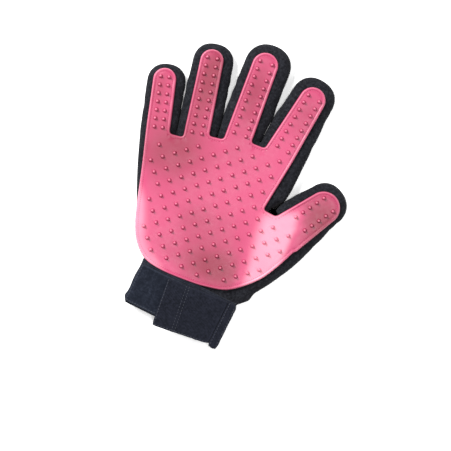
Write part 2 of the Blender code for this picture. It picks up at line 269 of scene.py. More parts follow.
@dataclass(frozen=True)
class Finger:
    """One finger in its own frame: along from the root line to the tip, across to its right."""

    name: str
    rise: float  # from the root line to the knuckle
    cloth: Silhouette
    pad: Silhouette
    nub_gap: float
    first_nub: float
    nub_rows: int
    slot: tuple[float, float]  # where the rubber parts from the neighbours', left and right
    zone: float = 7.0  # half the length of fabric that bends at a knuckle

    def joint(self, kind: str) -> dict:
        """The frame's joint of this name: the finger's knuckle at its base, or its joint further up."""
        return next(j for j in frame["joints"] if j["name"] == f"{self.name}_{kind}")

    @property
    def across_axis(self) -> Array:
        """Unit vector to the finger's right, the knuckle's own axis."""
        return np.array(self.joint("knuckle")["axis"][:2], float)

    @property
    def along_axis(self) -> Array:
        """Unit vector towards the tip."""
        return np.array([-self.across_axis[1], self.across_axis[0]])

    @property
    def root(self) -> Array:
        """Where the root line crosses the finger's axis."""
        return np.array(self.joint("knuckle")["pos_m"][:2], float) / MM - self.along_axis * self.rise

    @property
    def tip_rise(self) -> float:
        """How far along the upper joint is."""
        return float((np.array(self.joint("joint")["pos_m"][:2]) / MM - self.root) @ self.along_axis)

    @property
    def cut_low(self) -> float:
        """Where the finger's pieces begin."""
        return self.rise - self.zone - 0.2

    @property
    def cut_high(self) -> float:
        """Where its lower piece ends and its upper piece begins."""
        return (self.rise + self.tip_rise) / 2

    def at(self, across: Array, along: Array) -> Array:
        """Places from distances across and along."""
        across, along = np.broadcast_arrays(np.asarray(across, float), np.asarray(along, float))
        return self.root + across[..., None] * self.across_axis + along[..., None] * self.along_axis

    def local(self, places: Array) -> tuple[Array, Array]:
        """Across and along of places."""
        return (places - self.root) @ self.across_axis, (places - self.root) @ self.along_axis

    def nubs(self) -> tuple[Array, Array]:
        """Places of the two nubs of each row, and how far along each is.

        Returns:
            The places, and one distance for each.
        """
        row = self.pad.length - self.first_nub - NUB_PITCH * np.arange(self.nub_rows)
        middle = (self.pad.right[1] - self.pad.left[1]) / 2
        across = np.tile([middle - self.nub_gap / 2, middle + self.nub_gap / 2], len(row))
        along = np.repeat(row, 2)
        return self.at(across, along), along


NUB_PITCH = 6.6
TOUCH_GAP = -0.06  # between neighbours' edges where they press; below 0 they overlap
TOUCH_SOFTNESS = 0.7
NO_TOUCH = -20.0  # stands for a gap too wide to matter


def sized(name: str, rise: float, length: float, cloth: tuple, pad: tuple, margin: float, nubs: tuple,
          slot: tuple, power: float, zone: float = 7.0) -> Finger:
    """A finger from its plain sizes: cloth and pad are (left, right) pairs of (root, tip) half-widths."""
    shapes = Silhouette(*cloth, length, power), Silhouette(*pad, length - margin)
    return Finger(name, rise, *shapes, *nubs, slot, zone)


FINGERS = (
    sized("little", 11.6, 52.3, ((14.3, 13.9), (15.5, 16.5)), ((9.4, 9.1), (9.4, 9.1)), 3.9,
          (6.6, 7.0, 7), (0.0, -2.0), 2.25),
    sized("ring", 12.4, 74.0, ((17.1, 15.0), (17.8, 17.0)), ((10.0, 9.2), (10.0, 9.2)), 5.3,
          (7.8, 7.0, 10), (-3.0, 2.0), 2.3),
    sized("middle", 15.1, 80.9, ((17.8, 16.4), (19.3, 20.3)), ((10.8, 10.3), (10.8, 10.3)), 7.7,
          (10.0, 8.0, 10), (-2.0, 3.0), 2.2),
    sized("index", 10.1, 68.9, ((19.8, 17.8), (21.7, 17.1)), ((12.2, 10.4), (12.2, 10.4)), 7.6,
          (10.0, 8.6, 8), (0.0, -41.5), 2.25),
    sized("thumb", 11.8, 56.2, ((22.0, 17.0), (25.4, 17.5)), ((14.0, 11.5), (18.0, 14.5)), 6.2,
          (12.5, 8.5, 5), (2.7, 0.0), 2.2, 4.5),
)
CROTCHES = ((-55.8, 31.0), (-25.0, 37.5), (9.4, 41.0), (36.4, -3.6))


def give_way(finger: Finger, other: Finger, side: int, along: Array) -> Array:
    """How far a finger's cloth edge moves in where it presses on its neighbour.

    Where the two free edges would cross by v, each gives way by half of v, softened to
    (v + sqrt(v^2 + k^2)) / 4 so that they part in a smooth curve.

    Args:
        finger: the finger whose edge it is.
        other: its neighbour on that side.
        side: -1 for the left edge, 1 for the right one.
        along: distances along the finger.

    Returns:
        The distance in, for each along.
    """
    places = finger.at(side * finger.cloth.half(along, side), along)
    across, far = other.local(places)
    inside = other.cloth.half(far, -side) - (-side) * across + TOUCH_GAP
    inside = np.where(far > other.cloth.shoulder + 6, NO_TOUCH, inside)
    return (inside + np.sqrt(inside**2 + TOUCH_SOFTNESS**2)) / 4


def climb(low: float, shape: Silhouette) -> Array:
    """Distances along a finger for its outline's points, from low to just below its shoulder."""
    return np.arange(low, shape.shoulder - 0.5, FINGER_STEP)


@dataclass
class FabricEdge:
    """The sewn outline of the glove and the part of it on each finger."""

    outer_side: tuple = (
        (-49.2, -75.0), (-49.4, -69.6), (-53.5, -63.0), (-61.0, -50.0), (-68.2, -30.0), (-76.3, -3.0)
    )
    thumb_side: tuple = (
        (61.2, -44.2), (49.4, -60.2), (41.8, -69.2), (39.2, -75.6), (34.8, -79.4), (31.0, -82.6),
        (29.9, -87.4),
    )
    arc: int = 18
    uneven: float = 0.3

    def side(self, number: int, side: int, along: Array) -> Array:
        """Across values of a finger's edge at these distances along, pressed by its neighbour.

        Args:
            number: which finger, 0 for the little one.
            side: -1 for the left edge, 1 for the right one.
            along: distances along the finger.

        Returns:
            How far across the edge is at each of them, below 0 on the left.
        """
        finger = FINGERS[number]
        shoulder = finger.cloth.shoulder
        wobble = self.uneven * Ripple(40 + 2 * number + side, 13.0).at(np.column_stack([along, 0 * along]))
        wobble = wobble * soft_step(along, 6, 24) * (1 - soft_step(along, shoulder - 8, shoulder - 1))
        half = finger.cloth.half(along, side) + wobble
        if 0 <= number + side < len(FINGERS):
            half = half - give_way(finger, FINGERS[number + side], side, along)
        return side * half

    def reach(self, number: int, side: int) -> float:
        """How far down the finger an edge goes: to the crotch, or to the root line outside.

        Args:
            number: which finger, 0 for the little one.
            side: -1 for the left edge, 1 for the right one.

        Returns:
            The distance along the finger where that edge starts.
        """
        if not 0 <= number + side < len(FINGERS):
            return 0.0
        foot = CROTCHES[number if side > 0 else number - 1]
        return float(FINGERS[number].local(np.array([foot]))[1][0])

    def tip(self, number: int) -> tuple[Array, Array]:
        """Across and along round a finger's end, from its left shoulder to its right one.

        Args:
            number: which finger, 0 for the little one.

        Returns:
            The distances across, and the distances along.
        """
        finger = FINGERS[number]
        cloth = finger.cloth
        turn = np.pi * np.linspace(0, 1, 2 * self.arc + 1)
        rise = np.sin(turn) ** (2 / cloth.power)
        along = cloth.shoulder + (cloth.length - cloth.shoulder) * rise
        left, right = (self.side(number, side, np.array([cloth.shoulder]))[0] for side in (-1, 1))
        lean = np.sign(np.cos(turn)) * np.abs(np.cos(turn)) ** (2 / cloth.power)
        across = (left + right) / 2 - lean * (right - left) / 2
        return across, along

    def outline(self) -> Array:
        """The whole open outline, clockwise from the wrist's outer corner to its inner one.

        Returns:
            Its points, in order.
        """
        parts = []
        for number, finger in enumerate(FINGERS):
            up, down = (climb(self.reach(number, side), finger.cloth) for side in (-1, 1))
            parts.append(np.vstack([
                finger.at(self.side(number, -1, up), up),
                finger.at(*self.tip(number)),
                finger.at(self.side(number, 1, down), down)[::-1],
            ]))
        for first, second in zip(parts, parts[1:]):
            first[-1] = second[0] = (first[-1] + second[0]) / 2
        joined = [parts[0]] + [part[1:] for part in parts[1:]]
        outer = curve_through(np.vstack([self.outer_side, parts[0][:1]]), CURVE_STEP)[:-1]
        inner = curve_through(np.vstack([parts[-1][-1:], self.thumb_side]), CURVE_STEP)[1:]
        return np.vstack([outer, *joined, inner])


@dataclass
class RubberEdge:
    """The outline of the rubber, clockwise: the fingers from left to right, then round the heel."""

    heel: tuple = (
        (60.3, -30.0), (52.3, -43.6), (41.0, -58.6), (22.0, -72.4), (4.0, -75.9), (-14.0, -76.0),
        (-34.0, -74.2), (-48.4, -69.6), (-58.4, -59.6), (-63.6, -48.0), (-67.2, -33.0), (-72.6, -3.0),
    )
    corner: float = 2.4
    arc: int = 16

    def outline(self) -> Array:
        """The whole closed outline.

        Returns:
            Its points, in order.
        """
        sides = []
        for finger in FINGERS:
            pad = finger.pad
            up, down = (climb(low, pad) for low in finger.slot)
            sides.append((
                finger.at(-self.half(pad, up, -1), up),
                finger.at(*self.tip(pad)),
                finger.at(self.half(pad, down, 1), down)[::-1],
            ))
        pieces = [sides[0][0]]
        for (_, tip, down), (up, _, _) in zip(sides, sides[1:]):
            pieces += [
                tip,
                down[:-3],
                fillet(down[-4], down[-1], up[0], self.corner),
                fillet(down[-1], up[0], up[3], self.corner),
                up[3:],
            ]
        pieces += [sides[-1][1], sides[-1][2]]
        heel = curve_through(np.vstack([sides[-1][2][-1:], self.heel, sides[0][0][:1]]), CURVE_STEP)[1:-1]
        return np.vstack([*pieces, heel])

    @staticmethod
    def half(pad: Silhouette, along: Array, side: int) -> Array:
        """Half-width of a finger's rubber, which stays the same below the root line."""
        return pad.half(np.maximum(along, 0), side)

    def tip(self, pad: Silhouette) -> tuple[Array, Array]:
        """Across and along round a finger's rubber end.

        Args:
            pad: the rubber's silhouette on that finger.

        Returns:
            The distances across, and the distances along.
        """
        turn = np.pi * np.linspace(0, 1, 2 * self.arc + 1)
        middle, half = (pad.right[1] - pad.left[1]) / 2, (pad.right[1] + pad.left[1]) / 2
        return middle - half * np.cos(turn), pad.shoulder + (pad.length - pad.shoulder) * np.sin(turn)


FABRIC_EDGE, RUBBER_EDGE = FabricEdge(), RubberEdge()
FABRIC = Edge(FABRIC_EDGE.outline())
RUBBER = Edge(RUBBER_EDGE.outline(), closed=True)
CUFF_PLACE = np.array([-9.2, -75.1])
CUFF_TURN = math.radians(8.3)
CUFF_ACROSS = np.array([math.cos(CUFF_TURN), -math.sin(CUFF_TURN)])
CUFF_ALONG = np.array([math.sin(CUFF_TURN), math.cos(CUFF_TURN)])


def cuff(across: Array, along: Array) -> Array:
    """Places from the wrist band's own frame: across its length, and up towards the palm."""
    across, along = np.broadcast_arrays(np.asarray(across, float), np.asarray(along, float))
    return CUFF_PLACE + across[..., None] * CUFF_ACROSS + along[..., None] * CUFF_ALONG


def cuff_local(places: Array) -> tuple[Array, Array]:
    """Across and along of places, in the wrist band's own frame."""
    return (places - CUFF_PLACE) @ CUFF_ACROSS, (places - CUFF_PLACE) @ CUFF_ALONG


# --- Heights ---------------------------------------------------------------------------------


@dataclass(frozen=True)
class Relief:
    """How high the fabric and the rubber lie, everywhere on the glove."""

    broad: Ripple = Ripple(11, 48.0)
    wrinkle: Ripple = Ripple(5, 17.0, 9)
    crease: Ripple = Ripple(23, 8.0, 9)
    wrist_flat: tuple = (0.36, 0.40)  # how much flatter the front and the back are at the wrist
    gather: float = 0.45  # height of the wrist's gathers
    gather_number: float = 1.25  # radians of gathers for each millimetre across
    overhang: float = 2.4  # how far past the seam the rubber would come down
    rises: tuple = ((40.0, -26.0, 17.0, 1.3), (-4.0, -42.0, 24.0, -1.1), (-44.0, 8.0, 20.0, 0.5))

    def fabric(self, places: Array) -> tuple[Array, Array]:
        """The fabric's front: seam height + rise x dome(distance from the seam), lower at the wrist.

        Args:
            places: x and y of each place.

        Returns:
            The heights, and the distances from the seam.
        """
        distance, _ = FABRIC.distance(places)
        across, along = cuff_local(places)
        flat = 1 - self.wrist_flat[0] * (1 - soft_step(along, -2, 24))
        waves = np.cos(across * self.gather_number + 1.3 * self.wrinkle.at(places))
        gathers = self.gather * waves * (1 - soft_step(along, 1, 13))
        loose = 0.30 * self.wrinkle.at(places) + 0.16 * self.crease.at(places) + gathers
        rise = dome(distance, CLOTH_ROLL)
        return SEAM_HEIGHT + rise * ((CLOTH_TOP - SEAM_HEIGHT) * flat + loose * 0.8), distance

    def back(self, places: Array) -> tuple[Array, Array]:
        """The fabric's back, resting on the table: seam height - drop x dome(distance).

        Args:
            places: x and y of each place.

        Returns:
            The heights, and the distances from the seam.
        """
        distance, _ = FABRIC.distance(places)
        _, along = cuff_local(places)
        flat = 1 - self.wrist_flat[1] * (1 - soft_step(along, -2, 24))
        slack = 0.22 * (1 + self.crease.at(places)) * soft_step(distance, 0, 12)
        drop = dome(distance, 7.0) * ((SEAM_HEIGHT - CLOTH_FLOOR) * flat)
        return SEAM_HEIGHT - drop + np.minimum(slack, 0.6), distance

    def rubber(self, places: Array) -> Array:
        """The rubber's top away from its edges: it follows the fabric, more gently.

        Args:
            places: x and y of each place.

        Returns:
            The height at each place.
        """
        distance, _ = FABRIC.distance(places)
        signed = np.where(FABRIC_SHAPE.holds(places), distance, -distance)
        rise = dome(np.maximum(signed + self.overhang, 0.05), CLOTH_ROLL + 1)
        soft = 0.35 * self.broad.at(places) + 0.10 * self.wrinkle.at(places)
        return SEAM_HEIGHT + PAD_THICKNESS + (CLOTH_TOP - SEAM_HEIGHT) * rise + soft + self.hollow(places)

    def hollow(self, places: Array) -> Array:
        """The palm's hollow and the mound at the thumb's root: wide Gaussian rises and dips.

        Args:
            places: x and y of each place.

        Returns:
            What to add to the height at each place.
        """
        total = np.zeros(len(places))
        for x, y, spread, height in self.rises:
            total += height * np.exp(-((places[:, 0] - x) ** 2 + (places[:, 1] - y) ** 2) / (2 * spread**2))
        return total


RELIEF = Relief()
FABRIC_SHAPE = Edge(FABRIC.points, closed=True)


# --- Meshes ----------------------------------------------------------------------------------


@dataclass
class Surface:
    """Vertices, faces and named values at the vertices, on their way into a mesh."""

    points: Array
    faces: list
    values: dict = field(default_factory=dict)
    border: tuple = ((), ())  # vertices on a cut, and their normals

    def __add__(self, other: "Surface") -> "Surface":
        """Both surfaces in one.

        Args:
            other: the surface to add.

        Returns:
            One surface; a value that one of them lacks is 0 there.
        """
        start = len(self.points)
        values = {
            key: np.concatenate([
                self.values.get(key, np.zeros(start)), other.values.get(key, np.zeros(len(other.points)))
            ])
            for key in {**self.values, **other.values}
        }
        faces = self.faces + [[corner + start for corner in face] for face in other.faces]
        return Surface(np.vstack([self.points, other.points]), faces, values, self.border)

    def outward(self) -> "Surface":
        """The surface with its faces turned over if they enclose a negative volume.

        Returns:
            The same surface, or one with each face's corners in reverse.
        """
        corners = np.array([self.points[face[:3]] for face in self.faces])
        four = np.array([self.points[face[-1]] for face in self.faces])
        volume = np.einsum("ij,ij->i", corners[:, 0], np.cross(corners[:, 1], corners[:, 2])).sum()
        volume += np.einsum("ij,ij->i", corners[:, 0], np.cross(corners[:, 2], four)).sum()
        return self if volume > 0 else Surface(self.points, [face[::-1] for face in self.faces], self.values)

    def mesh(self, name: str, finish: bpy.types.Material) -> bpy.types.Object:
        """The object, in metres, smooth, at the origin, with its faces pointing outwards.

        Args:
            name: the object's and the mesh's name.
            finish: its material.

        Returns:
            The new object, linked to the scene.
        """
        mesh = bpy.data.meshes.new(name)
        mesh.from_pydata((self.points * MM).tolist(), [], self.faces)
        for key, value in self.values.items():
            attribute = mesh.attributes.new(key, "FLOAT", "POINT")
            attribute.data.foreach_set("value", np.asarray(value, np.float32))
        mesh.polygons.foreach_set("use_smooth", np.ones(len(mesh.polygons), bool))
        mesh.update()
        if len(self.border[0]):
            normals = np.zeros(3 * len(self.points))
            mesh.vertices.foreach_get("normal", normals)
            normals = normals.reshape(-1, 3)
            normals[self.border[0]] = self.border[1]
            mesh.normals_split_custom_set_from_vertices(normals.tolist())
        item = bpy.data.objects.new(name, mesh)
        bpy.context.scene.collection.objects.link(item)
        mesh.materials.append(finish)
        return item


def face_up(plane: Array, faces: Array) -> Array:
    """The faces with their corners anticlockwise from above, by the sign of their area together.

    Args:
        plane: x and y of each vertex.
        faces: corner numbers, one face a row.

    Returns:
        The faces, as they were or all in reverse.
    """
    x, y = plane[faces, 0], plane[faces, 1]
    area = (x * np.roll(y, -1, axis=1) - np.roll(x, -1, axis=1) * y).sum()
    return faces[:, ::-1] if area < 0 else faces


def closed_sheet(plane: Array, faces: Array, heights: Callable, values: dict | None = None) -> Surface:
    """A solid sheet: the plane's faces at a top height and, turned over, at a low one.

    Vertices where the two heights meet are shared, and open borders get a wall. A cut's vertices
    keep the normal of the whole surface, (-dz/dx, -dz/dy, 1), so that no cut shows in the shading.

    Args:
        plane: x and y of each vertex.
        faces: corner numbers, one face a row.
        heights: gives the top and the low height of any places.
        values: named values at the vertices.

    Returns:
        The closed surface.
    """
    count = len(plane)
    faces = face_up(plane, faces)
    top, low = heights(plane)
    shared = top - low < 1e-4
    lower = np.where(shared, np.arange(count), count + np.cumsum(~shared) - 1)
    points = np.vstack([np.column_stack([plane, top]), np.column_stack([plane, low])[~shared]])
    ring = np.stack([faces, np.roll(faces, -1, axis=1)], axis=2).reshape(-1, 2)
    key = ring[:, 0].astype(np.int64) * count + ring[:, 1]
    back = ring[:, 1].astype(np.int64) * count + ring[:, 0]
    open_sides = ring[~np.isin(key, back)]
    a, b = open_sides[:, 0], open_sides[:, 1]
    open_wall = ~(shared[a] & shared[b])
    a, b = a[open_wall], b[open_wall]
    wall = np.column_stack([lower[a], lower[b], b, a]).tolist()
    wall = [[corner for n, corner in enumerate(face) if corner != face[n - 1]] for face in wall]
    doubled = {k: np.concatenate([v, v[~shared]]) for k, v in (values or {}).items()}
    cut = np.unique(np.concatenate([a, b]))
    cut = cut[~shared[cut]]
    border: tuple = ((), ())
    if len(cut):
        near = 0.15
        right, left, up, down = (
            heights(plane[cut] + near * np.array(way)) for way in ((1, 0), (-1, 0), (0, 1), (0, -1))
        )
        slopes = [np.column_stack([right[k] - left[k], up[k] - down[k]]) / (2 * near) for k in (0, 1)]
        upper = np.column_stack([-slopes[0], np.ones(len(cut))])
        under = np.column_stack([slopes[1], -np.ones(len(cut))])
        normals = np.vstack([upper, under])
        border = (np.concatenate([cut, lower[cut]]), normals / np.linalg.norm(normals, axis=1)[:, None])
    return Surface(points, faces.tolist() + lower[faces][:, ::-1].tolist() + wall, doubled, border)


def grid_faces(rows: int, columns: int, close_rows: bool = False, close_columns: bool = False) -> Array:
    """Quads of a grid whose vertices are counted along its rows.

    Args:
        rows: how many rows there are.
        columns: how many vertices a row has.
        close_rows: whether the last row joins the first.
        close_columns: whether each row's last vertex joins its first.

    Returns:
        Corner numbers, one quad a row.
    """
    r = np.arange(rows if close_rows else rows - 1)[:, None]
    c = np.arange(columns if close_columns else columns - 1)[None]
    r1, c1 = (r + 1) % rows, (c + 1) % columns
    corners = (r * columns + c, r * columns + c1, r1 * columns + c1, r1 * columns + c)
    return np.stack(np.broadcast_arrays(*corners), axis=-1).reshape(-1, 4)


NEAREST = 0.24  # from a border to the vertices inside it


def fill(border: Array, rings: Array, spacing: float, shape: Edge, clear: float) -> tuple[Array, Array]:
    """Triangles that fill a closed border, finer near its edges.

    Args:
        border: the border's own vertices, clockwise, which are kept as they are.
        rings: more vertices near the edges.
        spacing: pitch of the triangular lattice in the middle.
        shape: the edge that the rings follow.
        clear: how far from that edge the lattice starts.

    Returns:
        The vertices, the border's first, and the triangles, anticlockwise.
    """
    outline = Edge(border, closed=True)
    low, high = border.min(0), border.max(0)
    columns = np.arange(low[0], high[0], spacing)
    rows = np.arange(low[1], high[1], spacing * 0.866)
    x = columns[None] + spacing / 2 * (np.arange(len(rows)) % 2)[:, None]
    lattice = np.column_stack([x.ravel(), np.repeat(rows, len(columns))])
    lattice = lattice[shape.distance(lattice)[0] > clear]
    inner = np.vstack([rings, lattice])
    inner = inner[outline.holds(inner)]
    inner = inner[outline.distance(inner)[0] > NEAREST]
    count = len(border)
    loop = [(n, (n + 1) % count) for n in range(count)]
    places, _, faces, *_ = delaunay_2d_cdt(np.vstack([border, inner]).tolist(), loop, [], 1, 1e-5)
    places, faces = np.array([tuple(p) for p in places]), np.array(faces)
    used, renumbered = np.unique(faces, return_inverse=True)
    return places[used], renumbered.reshape(faces.shape)


def rings_inside(edge: Edge, depths: tuple) -> Array:
    """Vertices at these distances to the right of the edge, where nothing else is nearer.

    Args:
        edge: the edge that the rings follow.
        depths: the distances in from it.

    Returns:
        The vertices of all rings.
    """
    points = edge.points
    side = np.gradient(points, axis=0)
    normal = np.column_stack([side[:, 1], -side[:, 0]]) / np.linalg.norm(side, axis=1)[:, None]
    kept = []
    for depth in depths:
        ring = points + normal * depth
        ring = ring[:: 1 if depth < 2.5 else 2]
        kept.append(ring[np.abs(edge.distance(ring)[0] - depth) < 0.06 * depth + 0.02])
    return np.vstack(kept)


# --- Fingers and palm as sheets ----------------------------------------------------------------


class Layer(Enum):
    """The two materials that a finger is made of."""

    CLOTH = "cloth"
    PAD = "pad"


@dataclass(frozen=True)
class Weave:
    """How a sheet's vertices are spread: distances in from its edges, and along it."""

    depths: tuple
    step: float
    spacing: float


CLOTH_WEAVE = Weave((0.3, 0.8, 1.5, 2.5, 3.8, 5.4, 7.4, 10.0), 1.7, 2.6)
PAD_WEAVE = Weave((0.22, 0.5, 0.85, 1.25, 1.7, 2.2, 2.8, 3.6, 5.0, 7.2), 1.5, 2.3)


@dataclass(frozen=True)
class FingerPlan:
    """Vertices of a finger's two pieces, for its cloth or its rubber."""

    number: int
    layer: Layer

    @property
    def finger(self) -> Finger:
        """The finger itself."""
        return FINGERS[self.number]

    @property
    def shape(self) -> Silhouette:
        """Its cloth's silhouette or its rubber's."""
        return self.finger.cloth if self.layer is Layer.CLOTH else self.finger.pad

    @property
    def weave(self) -> Weave:
        """Its layer's spread of vertices."""
        return CLOTH_WEAVE if self.layer is Layer.CLOTH else PAD_WEAVE

    def sides(self, along: Array) -> tuple[Array, Array]:
        """Across values of the left and the right edge.

        Args:
            along: distances along the finger.

        Returns:
            The left edge's values, and the right one's.
        """
        along = np.atleast_1d(along).astype(float)
        if self.layer is Layer.CLOTH:
            return FABRIC_EDGE.side(self.number, -1, along), FABRIC_EDGE.side(self.number, 1, along)
        return -RubberEdge.half(self.shape, along, -1), RubberEdge.half(self.shape, along, 1)

    def shares(self) -> Array:
        """Places from an edge, 0, to the middle, 1, closer near the edge.

        Returns:
            The shares, in rising order.
        """
        half = (self.shape.left[1] + self.shape.right[1]) / 2
        inner = np.array([d for d in self.weave.depths if d < half * 0.9])
        return np.concatenate([[0], inner / half, [1]])

    def row(self, along: float) -> Array:
        """Places straight across the finger, from its left edge to its right one.

        Args:
            along: how far along the finger the row is.

        Returns:
            The row's places.
        """
        left, right = (float(side[0]) for side in self.sides(np.array([along])))
        share = self.shares() / 2
        share = np.concatenate([share, 1 - share[-2::-1]])
        return self.finger.at(left + (right - left) * share, along)

    def lower(self) -> tuple[Array, Array]:
        """The piece across the base knuckle: rows from the palm to midway between the knuckles.

        Returns:
            Its vertices, and its quads.
        """
        low, high = self.finger.cut_low, self.finger.cut_high
        rows = np.linspace(low, high, int((high - low) / self.weave.step) + 1)
        plane = np.array([self.row(along) for along in rows])
        return plane.reshape(-1, 2), grid_faces(plane.shape[0], plane.shape[1])

    def upper(self) -> tuple[Array, Array]:
        """The piece across the outer knuckle: rows round the fingertip, from the edge inwards.

        Each row runs from a point on the edge to the finger's middle line, or to the middle of
        its rounded end.

        Returns:
            Its vertices, and its triangles.
        """
        finger, shape = self.finger, self.shape
        low, top = finger.cut_high, shape.shoulder
        rise = np.linspace(low, top, max(3, int((top - low) / self.weave.step) + 1))
        left, right = self.sides(rise)
        tip = FABRIC_EDGE.tip(self.number) if self.layer is Layer.CLOTH else RUBBER_EDGE.tip(shape)
        edge_across = np.concatenate([left[:-1], tip[0], right[-2::-1]])
        edge_along = np.concatenate([rise[:-1], tip[1], rise[-2::-1]])
        middle = (left + right) / 2
        middle_across = np.concatenate([middle[:-1], np.full(len(tip[0]), middle[-1]), middle[-2::-1]])
        middle_along = np.minimum(edge_along, top)
        share = self.shares()
        across = edge_across[:, None] + (middle_across - edge_across)[:, None] * share
        along = edge_along[:, None] + (middle_along - edge_along)[:, None] * share
        plane = finger.at(across, along).reshape(-1, 2)
        return merge_places(plane, grid_faces(len(edge_across), len(share)))


def finger_pieces(layer: Layer) -> Iterator[tuple[Finger, str, Array, Array]]:
    """Each finger twice: with "base" and its lower piece's mesh, and with "tip" and its upper one's.

    Args:
        layer: its cloth or its rubber.

    Returns:
        The finger, which end, the vertices and the faces, for each piece.
    """
    for number, finger in enumerate(FINGERS):
        plan = FingerPlan(number, layer)
        yield finger, "base", *plan.lower()
        yield finger, "tip", *plan.upper()


def merge_places(plane: Array, faces: Array) -> tuple[Array, Array]:
    """The same faces with vertices in one place made one, and quads that lost a side made triangles.

    Args:
        plane: x and y of each vertex.
        faces: corner numbers, one quad a row.

    Returns:
        The vertices that are left, and triangles over them.
    """
    _, first, number = np.unique(np.round(plane, 4), axis=0, return_index=True, return_inverse=True)
    faces = number.reshape(-1)[faces]
    repeated = faces == np.roll(faces, 1, axis=1)
    quads = faces[~repeated.any(1)]
    thin = faces[repeated.sum(1) == 1]
    kept = thin[~(thin == np.roll(thin, 1, axis=1))].reshape(-1, 3)
    triangles = np.vstack([quads[:, [0, 1, 2]], quads[:, [0, 2, 3]], kept])
    return plane[first], triangles


def region(layer: Layer) -> tuple[Array, Array]:
    """The palm's vertices and triangles: the outline, cut off at each finger's first row.

    Args:
        layer: its cloth or its rubber.

    Returns:
        The vertices and the triangles.
    """
    edge, weave = (FABRIC, CLOTH_WEAVE) if layer is Layer.CLOTH else (RUBBER, PAD_WEAVE)
    points = edge.points
    kept = np.ones(len(points), bool)
    loop: list[Array] = []
    start = 0
    for number, finger in enumerate(FINGERS):
        row = FingerPlan(number, layer).row(finger.cut_low)
        _, along = finger.local(points)
        first, last = (int(np.linalg.norm(points - end, axis=1).argmin()) for end in (row[0], row[-1]))
        kept[first : last + 1] = False
        for end in (first, last):
            kept[end] = along[end] < finger.cut_low - 0.25
        stretch = np.arange(start, first + 1)
        loop += [points[stretch[kept[stretch]]], row]
        start = first + 1
    stretch = np.arange(start, len(points))
    border = np.vstack([*loop, points[stretch[kept[stretch]]]])
    return fill(border, rings_inside(edge, weave.depths), weave.spacing, edge, weave.depths[-1] * 0.92)


# --- Nubs ------------------------------------------------------------------------------------


NUB_RIM = 30.0  # a nub counts as this far from the rubber's edge


def repeated(points: Array, *faces: Array) -> Surface:
    """Copies of one small shape: points of copy x vertex x 3, and each kind of face of one copy.

    Args:
        points: x, y and z of every copy's vertices.
        faces: corner numbers in one copy, an array for each kind of face.

    Returns:
        All the copies as one surface.
    """
    start = np.arange(len(points))[:, None, None] * points.shape[1]
    listed = [face for kind in faces for face in (kind[None] + start).reshape(-1, kind.shape[1]).tolist()]
    return Surface(points.reshape(-1, 3), listed)


@dataclass(frozen=True)
class NubShape:
    """One soft cone, turned round its axis: height against radius, foot first."""

    radii: tuple = (1.95, 1.62, 1.40, 1.10, 0.80, 0.55, 0.28)
    heights: tuple = (-0.12, 0.12, 0.55, 1.35, 2.25, 2.78, 3.0)

    def at(self, places: Array, floor: Array) -> Surface:
        """Closed nubs at these places, standing on these heights: rings of radius r at height h.

        Args:
            places: x and y of each nub.
            floor: the height that each one stands on.

        Returns:
            All the nubs as one surface, with the values that the rubber's finish reads.
        """
        turn = 2 * np.pi * np.arange(NUB_SIDES) / NUB_SIDES
        circle = np.column_stack([np.cos(turn), np.sin(turn)])
        ring = np.array(self.radii)[:, None, None] * circle
        height = np.repeat(np.array(self.heights)[:, None], NUB_SIDES, axis=1)
        one = np.concatenate([ring, height[..., None]], axis=2).reshape(-1, 3)
        one = np.vstack([one, [0, 0, self.heights[-1] + 0.04]])
        last = (len(self.radii) - 1) * NUB_SIDES + np.arange(NUB_SIDES)
        cap = np.column_stack([last, np.roll(last, -1), np.full(NUB_SIDES, len(one) - 1)])
        sides = grid_faces(len(self.radii), NUB_SIDES, close_columns=True)
        foot = np.arange(NUB_SIDES)[None, ::-1]
        nubs = repeated(one + np.column_stack([places, floor])[:, None], sides, cap, foot)
        rise = np.tile(np.append(np.repeat(self.heights, NUB_SIDES), self.heights[-1]), len(places))
        share = np.clip(rise / self.heights[-1], 0, 1)
        nubs.values = {"rim": np.full(len(rise), NUB_RIM), "nub": share + 0.02}
        return nubs


PALM_PITCH, PALM_TURN, PALM_START = 9.6, math.radians(34), np.array([-17.0, 16.0])
PALM_MARGIN = 6.5  # from the rubber's edge to a nub's middle
ROWS_START = 2.0  # how far over a finger's root line the palm's nubs end


def palm_nubs() -> Array:
    """The turned square grid of nubs on the palm, clear of its edge and of the fingers' rows.

    Returns:
        The places of the nubs.
    """
    across = PALM_PITCH * np.array([math.cos(PALM_TURN), math.sin(PALM_TURN)])
    up = np.array([-across[1], across[0]])
    steps = np.arange(-14, 15)
    i, j = np.meshgrid(steps, steps, indexing="ij")
    grid = PALM_START + i.reshape(-1, 1) * across + j.reshape(-1, 1) * up
    grid = grid[RUBBER.holds(grid)]
    grid = grid[RUBBER.distance(grid)[0] > PALM_MARGIN]
    for finger in FINGERS:
        side, along = finger.local(grid)
        grid = grid[~((along > ROWS_START) & (side > -finger.pad.left[0]) & (side < finger.pad.right[0]))]
        rows, _ = finger.nubs()
        gap = np.linalg.norm(grid[:, None] - rows[None], axis=2).min(1)
        grid = grid[gap > NUB_PITCH * 0.9]
    return grid


# --- Finishes --------------------------------------------------------------------------------


